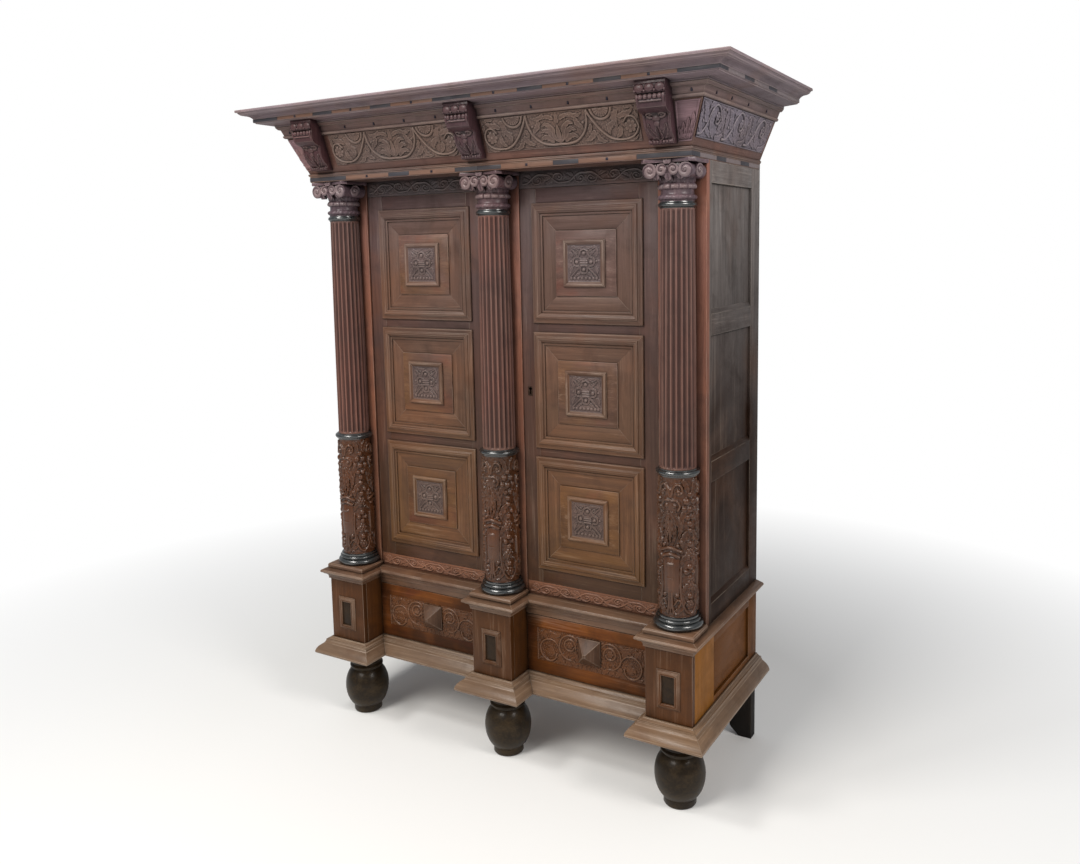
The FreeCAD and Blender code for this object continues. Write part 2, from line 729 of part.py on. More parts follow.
def rail_lower():
    """Carved rail under the doors, with the sockets of the lower pins."""
    top = CASE_Z + LOWER_RAIL
    rail = box(-STRIP_EDGE, STRIP_EDGE, RAIL_SETBACK, STILE_BOARD, CASE_Z, top)
    for side in SIDES:
        rail = rail.cut(pin_socket(side, top - PIN_LENGTH - 1, top))
    return [rail]


def rail_upper():
    """Carved rail over the doors with their pin sockets, and the batten that stops them."""
    low = CASE_TOP - UPPER_RAIL
    rail = box(-STRIP_EDGE, STRIP_EDGE, RAIL_SETBACK, STILE_BOARD, low, CASE_TOP)
    for side in SIDES:
        rail = rail.cut(pin_socket(side, low, low + PIN_LENGTH + 1))
    under = CASE_TOP - BASE_BOARD
    stop_y = DOOR_THICK + STOP_GAP
    stop = box(-PIN_X + STOP_END, PIN_X - STOP_END, stop_y, stop_y + STOP_DEEP,
               under - STOP_TALL, under)
    hole = Part.makeCylinder(DOOR_BOLT_RADIUS + BOLT_CLEARANCE, STOP_TALL,
                             Vector(door_bolt_x(), door_bolt_y(), under - STOP_TALL))
    return [rail, stop.cut(hole)]


# ------------------------------------------------------------------ columns
def column_plinth(x, low):
    """Square plinth with a chamfered top."""
    top = CASE_Z + PLINTH_HEIGHT
    half = PLINTH_HALF
    slab = box(x - half, x + half, COLUMN_CENTRE_Y - half, STRIP_FACE, low, top)
    rim = [edge for edge in slab.Edges
           if edge.BoundBox.ZMin > top - 0.1 and edge.BoundBox.YMin < STRIP_FACE - 0.1]
    return slab.makeChamfer(PLINTH_CHAMFER, rim)


def column_ebony(x):
    """Black turned pieces: the base's two rolls and the rings below and above the shaft."""
    z = CASE_Z + PLINTH_HEIGHT
    big, top = TORUS_RADIUS - TORUS_SWELL, z + TORUS_HEIGHT
    neck = DRUM_RADIUS + RING_SEAT
    points = [(big, z)] + bow((big, z), (big, z + LOWER_ROLL), TORUS_SWELL, 3)
    points += [(big - RING_SWELL, z + LOWER_ROLL + RING_SEAT), (big, z + LOWER_ROLL + 2 * RING_SWELL),
               (neck, top - RING_SEAT), (neck, top)]
    base = turned(points, x, COLUMN_CENTRE_Y)
    z = top + DRUM_HEIGHT
    top = z + LOWER_RING_HEIGHT
    big = LOWER_RING_RADIUS - RING_SWELL
    points = [(big, z)] + bow((big, z), (big, top - RING_SEAT), RING_SWELL, 3)
    low_ring = turned(points + [(SHAFT_LOW_RADIUS + RING_SEAT, top)], x, COLUMN_CENTRE_Y)
    top = CASE_TOP - CAPITAL_HEIGHT
    z = top - UPPER_RING_HEIGHT
    big = UPPER_RING_RADIUS - RING_SWELL
    points = [(big, z)] + bow((big, z), (big, top), RING_SWELL, 3)
    top_ring = turned(points, x, COLUMN_CENTRE_Y)
    return [engaged(base), engaged(low_ring), engaged(top_ring)]


def column_drum(x):
    """Lower third of a column, which carries the carving."""
    z = CASE_Z + PLINTH_HEIGHT + TORUS_HEIGHT
    return engaged(turned([(DRUM_RADIUS, z), (DRUM_RADIUS, z + DRUM_HEIGHT)], x, COLUMN_CENTRE_Y))


def fluted_ring(x, z, radius):
    """Outline of the shaft at one height: round hollows with flat fillets between them."""
    step = 2 * math.pi / FLUTES
    depth = FLUTE_DEPTH / SHAFT_LOW_RADIUS
    spots = []
    for index in range(FLUTES):
        for cut in range(FLUTE_CUTS + 1):
            share = cut / FLUTE_CUTS
            turn = (index + share * (1 - FILLET_SHARE)) * step
            reach = radius * (1 - depth * math.sin(math.pi * share))
            spots.append(Vector(x + reach * math.sin(turn), COLUMN_CENTRE_Y - reach * math.cos(turn), z))
    return spots


def column_shaft(x):
    """Fluted and tapered shaft."""
    low = CASE_Z + PLINTH_HEIGHT + TORUS_HEIGHT + DRUM_HEIGHT + LOWER_RING_HEIGHT
    high = CASE_TOP - CAPITAL_HEIGHT - UPPER_RING_HEIGHT
    return engaged(stacked([fluted_ring(x, low, SHAFT_LOW_RADIUS), fluted_ring(x, high, SHAFT_TOP_RADIUS)]))


def column_capital(x, top):
    """Bell with two turned rolls, a block with scrolls at its corners and two smaller ones
    between them, and a hollow-sided abacus."""
    z = CASE_TOP - CAPITAL_HEIGHT
    lid = CASE_TOP - ABACUS_HEIGHT
    seat = lid - 2 * SCROLL_RADIUS
    bell, roll, egg = BELL_RADIUS, BELL_ROLL, EGG_RADIUS
    points = [(bell - 2, z), (bell, z + roll)]
    points += bow((bell, z + roll), (bell, z + 3 * roll), roll, 2)
    points += [(bell - 2, z + 4 * roll), (bell, z + EGG_LIFT - 2 * roll)]
    points += bow((bell, z + EGG_LIFT - 2 * roll), (bell, z + EGG_LIFT + 2 * roll), egg - bell, 3)
    solids = [engaged(turned(points + [(bell, seat)], x, COLUMN_CENTRE_Y))]
    inner = SCROLL_CENTRE - SCROLL_RADIUS
    block_face = COLUMN_CENTRE_Y - SCROLL_BLOCK_REACH
    scroll_face = COLUMN_CENTRE_Y - SCROLL_REACH
    solids.append(box(x - inner, x + inner, block_face, STRIP_FACE, seat, lid))
    for side in SIDES:
        solids.append(scroll(x + side * SCROLL_CENTRE, lid - SCROLL_RADIUS, SCROLL_RADIUS,
                             scroll_face, STRIP_FACE))
        solids.append(scroll(x + side * INNER_SCROLL_CENTRE, lid - INNER_SCROLL_RADIUS,
                             INNER_SCROLL_RADIUS, scroll_face, block_face))
    solids.append(plan(abacus_outline(x), lid, top))
    return solids


def scroll(x, z, radius, y0, y1):
    """Round roll that lies from front to back."""
    turns = [2 * math.pi * (index + 0.5) / SCROLL_SIDES for index in range(SCROLL_SIDES)]
    return stacked([[Vector(x + radius * math.cos(turn), y, z + radius * math.sin(turn))
                     for turn in turns] for y in (y0, y1)])


def abacus_outline(x):
    """Plan of the abacus: cut corners, and hollow sides between them."""
    half, horn, hollow = ABACUS_HALF, ABACUS_HORN, ABACUS_HOLLOW
    front = COLUMN_CENTRE_Y - half
    middle = (front + horn + STRIP_FACE) / 2
    return [(x - half, STRIP_FACE), (x - half, front + horn, x - half + hollow / 2, middle),
            (x - half + horn, front), (x + half - horn, front, x, front + hollow),
            (x + half, front + horn), (x + half, STRIP_FACE, x + half - hollow / 2, middle)]


def middle_strip():
    """Strip planted on the right door; the middle column stands in front of it."""
    low, high = CASE_Z + MOVING_GAP, CASE_TOP - MOVING_GAP
    return box(-HALF_STRIP, HALF_STRIP, STRIP_FACE, 0, low, high)


# ------------------------------------------------------------------ doors
def door_bolt_x():
    """Middle of the bolt inside the left door."""
    return -HALF_STRIP - MEETING_GAP - DOOR_BOLT_INSET


def door_bolt_y():
    """Depth of the bolt inside the left door."""
    return DOOR_THICK + STOP_GAP + STOP_DEEP / 2


def square_lows():
    """Lower edge of each moulded square of a door."""
    return [DOOR_Z + SQUARE_END_MARGIN + index * SQUARE_STEP for index in range(SQUARES)]


def door_frame(side):
    """Two stiles and four rails. The right door's inner stile also backs the middle strip."""
    inner_edge = HALF_STRIP + MEETING_GAP if side < 0 else -HALF_STRIP
    hole_left = SQUARE_X + MOULD_LAP
    hole_right = SQUARE_X + SQUARE_WIDTH - MOULD_LAP
    outer_stile = box(side * hole_right, side * DOOR_OUTER, 0, DOOR_THICK, DOOR_Z, DOOR_TOP)
    for low, high in ((DOOR_Z, DOOR_Z + PIN_PLATE_THICK), (DOOR_TOP - PIN_PLATE_THICK, DOOR_TOP)):
        outer_stile = outer_stile.cut(pivot_plate(side, low, high))
    inner_stile = box(side * inner_edge, side * hole_left, 0, DOOR_THICK, DOOR_Z, DOOR_TOP)
    if side > 0:
        inner_stile = inner_stile.cut(keyhole())
    edges = [DOOR_Z]
    for low in square_lows():
        edges += [low + MOULD_LAP, low + SQUARE_HEIGHT - MOULD_LAP]
    edges.append(DOOR_TOP)
    rails = [box(side * hole_left, side * hole_right, 0, DOOR_THICK, low, high)
             for low, high in zip(edges[0::2], edges[1::2])]
    strips = [middle_strip()] if side > 0 else []
    return [outer_stile, inner_stile] + rails + strips


def keyhole():
    """Round hole over a slot, through the stile to the lock."""
    x = HALF_STRIP + KEYHOLE_INSET
    hole = Part.makeCylinder(KEYHOLE_RADIUS, DOOR_THICK + 2, Vector(x, -1, LOCK_HEIGHT), Vector(0, 1, 0))
    half = KEYHOLE_RADIUS / 2
    slot = box(x - half, x + half, -1, DOOR_THICK + 1, LOCK_HEIGHT - KEYHOLE_SLOT, LOCK_HEIGHT)
    return hole.fuse(slot)


def plaque_frame_half():
    """Half width and half height of the small frame round each plaque."""
    inset = MOULD_WIDTH + FIELD_WIDTH
    return SQUARE_WIDTH / 2 - inset - BEVEL_SIDE, SQUARE_HEIGHT / 2 - inset - BEVEL_END


def door_panels(side):
    """Each square's panel: a board, a block that rises by a step and a bevel, and a plaque."""
    solids = []
    left = SQUARE_X + MOULD_LAP
    right = SQUARE_X + SQUARE_WIDTH - MOULD_LAP
    x = side * (left + right) / 2
    tip_x, tip_z = plaque_frame_half()
    whole = (tip_x + BEVEL_SIDE, tip_z + BEVEL_END)
    face = -BLOCK_STEP - BLOCK_RISE
    inner = (tip_x - PLAQUE_FRAME_BAND, tip_z - PLAQUE_FRAME_BAND)
    for low in square_lows():
        z = low + SQUARE_HEIGHT / 2
        board = box(side * left, side * right, 0, DOOR_THICK - PANEL_BOARD,
                    low + MOULD_LAP, low + SQUARE_HEIGHT - MOULD_LAP)
        step = frustum(x, z, whole, whole, 0, -BLOCK_STEP)
        bevel = frustum(x, z, whole, (tip_x, tip_z), -BLOCK_STEP, face)
        plaque = frustum(x, z, inner, inner, face, face - PLAQUE_THICK)
        solids += [board, step.fuse(bevel), plaque]
    return solids


def door_mouldings(side):
    """Mitred lengths on each square: the outer moulding, the flat field, the plaque's frame."""
    wide, proud, step = MOULD_WIDTH, MOULD_PROUD, MOULD_STEP
    crest = (wide - MOULD_CREST) / 2
    mould = [(0, 0), (0, MOULD_EDGE), (MOULD_EDGE - step, step), (-MOULD_FILLET, step)]
    mould += bow((-MOULD_FILLET, step), (-crest, proud), -step / 4, 2)
    mould += [(-crest - MOULD_CREST, proud)]
    mould += bow((-crest - MOULD_CREST, proud), (MOULD_INNER_FILLET - wide, step - 2), step / 3, 2)
    mould += [(MOULD_INNER_FILLET - wide, step), (-wide, step), (-wide, 0)]
    field = [(0, 0), (0, FIELD_THICK), (-FIELD_WIDTH, FIELD_THICK), (-FIELD_WIDTH, 0)]
    band, crest = PLAQUE_FRAME_BAND, PLAQUE_FRAME_CREST
    frame = [(0, 0), (0, PLAQUE_THICK), (-crest, PLAQUE_FRAME_PROUD), (-2 * crest, PLAQUE_FRAME_PROUD),
             (-band, PLAQUE_THICK), (-band, 0)]
    x0, x1 = SQUARE_X, SQUARE_X + SQUARE_WIDTH
    low = square_lows()[0]
    high = low + SQUARE_HEIGHT
    x, z = (x0 + x1) / 2, (low + high) / 2
    tip_x, tip_z = plaque_frame_half()
    lengths = ring(mould, x0, x1, low, high, 0)
    lengths += ring(field, x0 + wide, x1 - wide, low + wide, high - wide, 0)
    lengths += ring(frame, x - tip_x, x + tip_x, z - tip_z, z + tip_z, -BLOCK_STEP - BLOCK_RISE)
    if side < 0:
        lengths = [mirrored(length) for length in lengths]
    return [moved(length, 0, 0, index * SQUARE_STEP) for index in range(SQUARES) for length in lengths]


def pivot_plate(side, z0, z1):
    """Iron plate let into the end of a door's outer stile."""
    end = PIN_X + PIN_PLATE_WIDTH / 2
    return box(side * (end - PIN_PLATE_LENGTH), side * end, PIN_DEPTH - PIN_PLATE_WIDTH / 2,
               PIN_DEPTH + PIN_PLATE_WIDTH / 2, z0, z1)


def door_pivots(side):
    """Pins at the top and the bottom of one door, each on its plate."""
    foot = Vector(side * PIN_X, PIN_DEPTH, DOOR_Z - DOOR_RAIL_GAP - PIN_LENGTH)
    lower = pivot_plate(side, DOOR_Z, DOOR_Z + PIN_PLATE_THICK)
    lower = lower.fuse(Part.makeCylinder(PIN_RADIUS, PIN_LENGTH + DOOR_RAIL_GAP + 1, foot))
    collar = Part.makeCylinder(PIN_COLLAR, DOOR_RAIL_GAP - RUNNING_GAP,
                               Vector(side * PIN_X, PIN_DEPTH, DOOR_Z - DOOR_RAIL_GAP + RUNNING_GAP))
    upper = pivot_plate(side, DOOR_TOP - PIN_PLATE_THICK, DOOR_TOP)
    upper = upper.fuse(Part.makeCylinder(PIN_RADIUS, PIN_LENGTH + DOOR_RAIL_GAP + 1,
                                         Vector(side * PIN_X, PIN_DEPTH, DOOR_TOP - 1)))
    return [lower.fuse(collar), upper]


def lock_case():
    """Hollow iron lock on the inside of the right door, slotted for its bolt."""
    x0 = -HALF_STRIP + LOCK_SETBACK
    x1 = x0 + LOCK_LENGTH
    y0, y1 = DOOR_THICK, DOOR_THICK + LOCK_DEEP
    z0, z1 = LOCK_HEIGHT - LOCK_TALL / 2, LOCK_HEIGHT + LOCK_TALL / 2
    wall = LOCK_WALL
    shell = box(x0, x1, y0, y1, z0, z1)
    shell = shell.cut(box(x0 + wall, x1 - wall, y0 + wall, y1 - wall, z0 + wall, z1 - wall))
    gap = BOLT_CLEARANCE
    y = DOOR_THICK + LOCK_BOLT_INSET
    slot = box(x0 - 1, x0 + wall + 1, y - gap, y + LOCK_BOLT_THICK + gap,
               LOCK_HEIGHT - LOCK_BOLT_TALL / 2 - gap, LOCK_HEIGHT + LOCK_BOLT_TALL / 2 + gap)
    return [shell.cut(slot)]


def lock_bolt():
    """Bolt of the lock, drawn back."""
    x0 = -HALF_STRIP + LOCK_BOLT_TIP
    y = DOOR_THICK + LOCK_BOLT_INSET
    return [box(x0, x0 + LOCK_BOLT_LENGTH, y, y + LOCK_BOLT_THICK,
                LOCK_HEIGHT - LOCK_BOLT_TALL / 2, LOCK_HEIGHT + LOCK_BOLT_TALL / 2)]


def lock_keeper():
    """Staple on the inside of the left door that takes the lock's bolt."""
    x1 = -HALF_STRIP - MEETING_GAP - 1
    y = DOOR_THICK + LOCK_BOLT_INSET
    half = LOCK_BOLT_TALL / 2
    block = box(x1 - KEEPER_LENGTH, x1, DOOR_THICK, y + LOCK_BOLT_THICK + KEEPER_WALL / 2,
                LOCK_HEIGHT - half - KEEPER_WALL, LOCK_HEIGHT + half + KEEPER_WALL)
    gap = BOLT_CLEARANCE
    return block.cut(box(x1 - KEEPER_LENGTH - 1, x1 + 1, y - gap, y + LOCK_BOLT_THICK + gap,
                         LOCK_HEIGHT - half - gap, LOCK_HEIGHT + half + gap))


def door_bolt():
    """Upright bolt inside the left door, drawn down."""
    top = CASE_TOP - BASE_BOARD - STOP_TALL - DOOR_BOLT_BELOW
    return [Part.makeCylinder(DOOR_BOLT_RADIUS, DOOR_BOLT_LENGTH,
                              Vector(door_bolt_x(), door_bolt_y(), top - DOOR_BOLT_LENGTH))]


def bolt_staples():
    """Two staples that hold the upright bolt on the left door."""
    top = CASE_TOP - BASE_BOARD - STOP_TALL - DOOR_BOLT_BELOW
    x, y = door_bolt_x(), door_bolt_y()
    middle = top - DOOR_BOLT_LENGTH / 2
    staples = []
    for way in SIDES:
        z = middle + way * STAPLE_SPACING / 2
        block = box(x - STAPLE_WIDTH / 2, x + STAPLE_WIDTH / 2, DOOR_THICK, y + STAPLE_TALL / 2,
                    z - STAPLE_TALL / 2, z + STAPLE_TALL / 2)
        hole = Part.makeCylinder(DOOR_BOLT_RADIUS + RUNNING_GAP, STAPLE_TALL,
                                 Vector(x, y, z - STAPLE_TALL / 2))
        staples.append(block.cut(hole))
    return staples


# ------------------------------------------------------------------ cornice
def lean(z):
    """Reach of the frieze's sloping face at a height."""
    return FRIEZE_LEAN * (z - FRIEZE_Z) / FRIEZE_HEIGHT


def architrave():
    """Mitred beam on the columns with a lip on top, and the soffit board behind it."""
    wide, lip = ARCHITRAVE_WIDTH, ARCHITRAVE_LIP
    z0, z1 = CASE_TOP, FRIEZE_Z
    lip_foot = z1 - ARCHITRAVE_LIP_HEIGHT
    beam = mitred([(-wide, z0), (0, z0), (0, lip_foot - ARCHITRAVE_LIP_SLOPE), (lip, lip_foot), (lip, z1),
                   (-wide, z1)], cornice_path())
    inner = HALF_WIDTH - wide
    soffit = box(-inner, inner, ARCHITRAVE_FACE + wide, SHELF_FRONT, z0, z0 + SOFFIT_BOARD)
    return beam + [soffit]


def frieze_boards():
    """Leaning frieze boards, mitred at the corners."""
    return mitred([(-FRIEZE_BOARD, FRIEZE_Z), (0, FRIEZE_Z), (FRIEZE_LEAN, CROWN_Z),
                   (FRIEZE_LEAN - FRIEZE_BOARD, CROWN_Z)], cornice_path())


def carving_profile(rise, tall):
    """Section of a thin board that lies on the leaning face."""
    slope = math.hypot(FRIEZE_LEAN, FRIEZE_HEIGHT)
    out = CARVING_THICK * FRIEZE_HEIGHT / slope
    down = CARVING_THICK * FRIEZE_LEAN / slope
    low, high = FRIEZE_Z + rise, FRIEZE_Z + rise + tall
    return [(lean(low), low), (lean(low) + out, low - down), (lean(high) + out, high - down),
            (lean(high), high)]


def frieze_panels():
    """Boards for the carving: two on the front, one by each corner and one on each side."""
    long_runs = mitred(carving_profile(CARVING_LOW, CARVING_TALL), cornice_path())
    short_runs = mitred(carving_profile(CORNER_PANEL_LOW, CORNER_PANEL_TALL), cornice_path())
    big = 4 * HALF_WIDTH
    start = BRACKET_HALF_TOP + CARVING_START_MARGIN
    end = COLUMN_X - BRACKET_HALF_TOP - CARVING_END_MARGIN
    front = long_runs[1].common(box(start, end, -big, big, 0, big))
    corner = moved(short_runs[1], -CORNER_MARGIN, 0, 0)
    corner_start = COLUMN_X + BRACKET_HALF_TOP + CORNER_PANEL_MARGIN
    corner = corner.common(box(corner_start, big, -big, big, 0, big))
    flank = moved(long_runs[2], 0, CORNER_MARGIN, 0)
    flank = flank.common(box(0, big, -big, CASE_DEPTH - SIDE_CARVING_MARGIN, 0, big))
    right = [front, corner, flank]
    return right + [mirrored(board) for board in right]


def bed_moulding():
    """Inlaid band between two small mouldings, at the top of the frieze."""
    z0, z1 = CROWN_Z - BED_HEIGHT, CROWN_Z
    low, high = z0 + BED_BEAD, z1 - BED_LID
    bead, band, lid = BED_BEAD_PROUD, BED_BAND_PROUD, lean(z1) + BED_LID_REACH
    points = [(lean(z0), z0), (lean(z0) + bead, z0)]
    points += bow((lean(z0) + bead, z0), (lean(low) + bead, low), 2)
    points += [(lean(low) + band, low), (lean(high) + band, high), (lean(high) + BED_LID_PROUD, high),
               (lid, z1 - BED_LID_EDGE), (lid, z1), (lean(z1), z1)]
    return mitred(points, cornice_path())


def crown_moulding():
    """Crown: a level soffit, an inlaid nose, a swelling face and a square top edge."""
    z0, z1 = CROWN_Z, CROWN_TOP
    nose, reach = CROWN_NOSE, CROWN_REACH
    low, edge = z0 + NOSE_LIFT, z1 - CROWN_EDGE
    high = low + NOSE_HEIGHT
    waist = ((nose + reach) / 2, (high + edge) / 2)
    lip = nose - NOSE_LIP
    points = [(CROWN_BACK, z0), (CROWN_SOFFIT, z0), (CROWN_SOFFIT, z0 + NOSE_LIFT / 2),
              (lip, low - NOSE_UNDERCUT), (lip, low), (nose, low), (nose, high)]
    points += bow((nose, high), waist, -CROWN_SWELL, 3)
    points += bow(waist, (reach - NOSE_LIP, edge), CROWN_SWELL, 3)
    points += [(reach, edge), (reach, z1), (CROWN_BACK, z1)]
    return mitred(points, cornice_path())


def cornice_top():
    """Planks that close the cornice from above."""
    inner = HALF_WIDTH + CROWN_BACK
    front = ARCHITRAVE_FACE - CROWN_BACK
    deep = (CASE_DEPTH - front) / DUST_PLANKS
    top = CROWN_TOP - DUST_DROP
    return [box(-inner, inner, front + index * deep, front + (index + 1) * deep, top - DUST_BOARD, top)
            for index in range(DUST_PLANKS)]


def brackets(neighbours):
    """Scrolled brackets over the columns, cut to sit on the frieze and under the crown."""
    foot = FRIEZE_Z + BRACKET_FOOT_RISE
    head = CROWN_Z + CROWN_HEIGHT / 2
    cap = head - BRACKET_CAP
    scroll = cap - BRACKET_SCROLL
    toe, neck = (BRACKET_TOE, foot), (BRACKET_NECK, foot + BRACKET_TOE_HEIGHT)
    shoulder = (BRACKET_SHOULDER, scroll)
    lip = BRACKET_REACH - BRACKET_TOE_HEIGHT / 2
    points = [(lean(foot), foot), toe, (toe[0], foot + BRACKET_TOE_HEIGHT / 2), neck]
    points += bow(neck, shoulder, BRACKET_WAIST / 4, 4)
    points += bow(shoulder, (lip, cap - 2), BRACKET_SCROLL / 3, 6)
    points += [(lip, cap), (BRACKET_REACH, cap), (BRACKET_REACH, head), (lean(head), head)]
    shapes = []
    for x in (-COLUMN_X, 0, COLUMN_X):
        top, low = BRACKET_HALF_TOP, BRACKET_HALF_FOOT
        face = outline(points, lambda out, z: Vector(x - 2 * top, ARCHITRAVE_FACE - out, z))
        blank = face.extrude(Vector(4 * top, 0, 0))
        taper = outline([(x - low, foot), (x + low, foot), (x + top, head), (x - top, head)],
                        lambda across, z: Vector(across, -HALF_WIDTH, z))
        blank = blank.common(taper.extrude(Vector(0, HALF_WIDTH, 0)))
        shapes.append(blank.cut(neighbours).Solids[0])
    return shapes


# ------------------------------------------------------------------ the whole cupboard
os.makedirs("parts", exist_ok=True)
names = {-1: "left", 0: "middle", 1: "right"}

for way in names:
    export("foot_front_" + names[way], [front_foot(way * COLUMN_X)])
    export("pedestal_" + names[way], pedestal(way * COLUMN_X))
export("foot_rear_right", [rear_foot()])
export("foot_rear_left", [mirrored(rear_foot())])
export("base_floor", base_floor())
export("ebony_tablets", [tablet(way * COLUMN_X) for way in names])
export("base_top", base_top())
export("base_side_right", base_side())
export("base_side_left", [mirrored(board) for board in base_side()])
export("drawer_divider", [box(-DIVIDER / 2, DIVIDER / 2, PEDESTAL_FACE + BASE_BOARD, BACK_FACE,
                              FLOOR_TOP, BASE_LID)])
export("drawer_runners", drawer_runners())
export("back_boards", back_boards())

export("case_floor", [box(-INNER_HALF, INNER_HALF, STILE_BOARD, BACK_FACE, CASE_Z, CASE_Z + BASE_BOARD)])
export("case_ceiling", [box(-INNER_HALF, INNER_HALF, STILE_BOARD, BACK_FACE,
                            CASE_TOP - BASE_BOARD, CASE_TOP)])
export("case_side_right", case_side())
export("case_side_left", [mirrored(board) for board in case_side()])
export("shelves", shelves())
export("rail_lower", rail_lower())
export("rail_upper", rail_upper())

for way in SIDES:
    side_name = names[way]
    export("front_stile_" + side_name, [front_stile(way)])
    export("drawer_" + side_name + "_front", [drawer_front(way)])
    export("drawer_" + side_name + "_box", drawer_box(way))
    export("drawer_" + side_name + "_pull", [drawer_pull(way)])
    export("door_" + side_name + "_frame", door_frame(way))
    export("door_" + side_name + "_panels", door_panels(way))
    export("door_" + side_name + "_mouldings", door_mouldings(way))

export("door_right_pivots", door_pivots(1))
export("door_left_ironwork", door_pivots(-1) + [lock_keeper()] + bolt_staples())
export("door_left_bolt", door_bolt())
export("lock_case", lock_case())
export("lock_bolt", lock_bolt())

for way in names:
    centre = way * COLUMN_X
    gap = 0 if way else MOVING_GAP
    export("column_" + names[way] + "_drum", [column_plinth(centre, CASE_Z + gap), column_drum(centre)])
    export("column_" + names[way] + "_shaft", [column_shaft(centre)])
    export("column_" + names[way] + "_ebony", column_ebony(centre))
    export("column_" + names[way] + "_capital", column_capital(centre, CASE_TOP - gap))

bed = bed_moulding()
crown = crown_moulding()
export("brackets", brackets(bed + crown))
export("architrave", architrave())
export("frieze_boards", frieze_boards())
export("frieze_panels", frieze_panels())
export("crown_moulding", bed + crown)
export("cornice_top", cornice_top())
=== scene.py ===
"""Finish of the oak kas: worn boards with their grain, carving, turning, inlay and ironwork."""

import math
from functools import partial

import bmesh
import bpy
import numpy as np
from mathutils import Matrix, Vector
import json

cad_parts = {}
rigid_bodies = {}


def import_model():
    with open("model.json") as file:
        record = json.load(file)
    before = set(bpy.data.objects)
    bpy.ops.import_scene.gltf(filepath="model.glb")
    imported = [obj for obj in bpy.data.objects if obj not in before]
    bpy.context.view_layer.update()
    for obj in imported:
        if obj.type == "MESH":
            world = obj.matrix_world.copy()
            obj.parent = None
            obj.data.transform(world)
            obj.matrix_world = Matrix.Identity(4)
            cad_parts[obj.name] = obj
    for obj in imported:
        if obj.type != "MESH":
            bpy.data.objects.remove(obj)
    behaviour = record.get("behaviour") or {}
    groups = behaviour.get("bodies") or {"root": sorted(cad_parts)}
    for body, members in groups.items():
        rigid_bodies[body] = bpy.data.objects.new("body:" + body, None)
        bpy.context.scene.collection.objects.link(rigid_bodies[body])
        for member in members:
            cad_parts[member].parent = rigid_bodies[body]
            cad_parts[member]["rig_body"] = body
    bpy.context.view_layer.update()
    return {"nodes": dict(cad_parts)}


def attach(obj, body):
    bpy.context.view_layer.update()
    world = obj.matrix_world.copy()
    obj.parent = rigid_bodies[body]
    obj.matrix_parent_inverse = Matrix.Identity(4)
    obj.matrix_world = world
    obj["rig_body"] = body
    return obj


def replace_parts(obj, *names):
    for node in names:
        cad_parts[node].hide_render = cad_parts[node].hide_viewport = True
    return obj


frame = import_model()
NODES = frame["nodes"]

MM = 0.001
CAMERA_PLACE = (1.6876, -2.6407, 1.7158)
CAMERA_AHEAD = (-0.50096, 0.85653, -0.12406)
CAMERA_UP = (-0.04668, 0.11640, 0.99211)
PICTURE_WIDTH, PICTURE_HEIGHT = 1080, 864
FOCAL_PIXELS = 930.3
CENTRE_PIXEL = (555.2, 364.5)
SENSOR = 36.0
EDGE_WEAR = 1.2 * MM
EDGE_ANGLE = math.radians(20)
SMOOTH_ANGLE = math.radians(35)
CARVED_ANGLE = math.radians(60)
TURNED_ANGLE = math.radians(40)
SCROLL_ANGLE = math.radians(50)
TOUCHING = 1e-6
COLUMN_SIDES = ("left", "middle", "right")

# Limits in metres that tell boards apart.
STRIP_EDGE = 0.08
CROWN_FOOT = 2.15

# Sizes in mm; depths count from the doors' faces, and heights from the floor.
DOOR_PLANE = -91.5
STRIP_FACE = -6.0
BEAM_FACE = -120.0
HALF_WIDE = 711.0
COLUMN = 635.0
COLUMN_DEPTH = -39.5
SQUARE_MIDDLE, LOWEST_SQUARE, SQUARE_STEP = 315.0, 851.2, 408.3
DRAWER_MIDDLE, DRAWER_HEIGHT = 317.5, 405.0
RAIL_MIDDLE, RAIL_HALF = 318.0, 229.0
FRIEZE_FOOT, FRIEZE_TALL, LEAN = 1986.0, 160.0, 66.0
FRIEZE_SLOPE = math.hypot(LEAN, FRIEZE_TALL)
DRAWN_HIGH = 104.0
PANEL_MIDDLE, PANEL_HALF, PANEL_LOW, PANEL_TALL = 310.0, 260.0, 24.0, 96.0
FLANK_FRONT, FLANK_REAR = -166.0, 447.0
CORNER_INNER, CORNER_WIDE, CORNER_LOW, CORNER_TALL = 684.0, 58.0, 14.0, 102.0
FOOT_RADIUS, FOOT_NECK, FOOT_TOE, FOOT_MIDDLE = 79.5, 54.0, 51.0, 100.0
DRUM_RADIUS, DRUM_FOOT, DRUM_HEAD = 58.2, 622.0, 1047.0
SHAFT_FOOT, SHAFT_HEAD, FLUTES = 1067.0, 1823.0, 20
BEAD_RING = 1852.5
BRACKET_HALF, BRACKET_FOOT, BRACKET_TALL = 37.0, 1994.0, 179.0
NOSE_FACE, NOSE_HALF = -247.0, 838.0
BED_LOW = 2121.0
KEYHOLE_ACROSS, KEYHOLE_UP = 101.0, 1262.0


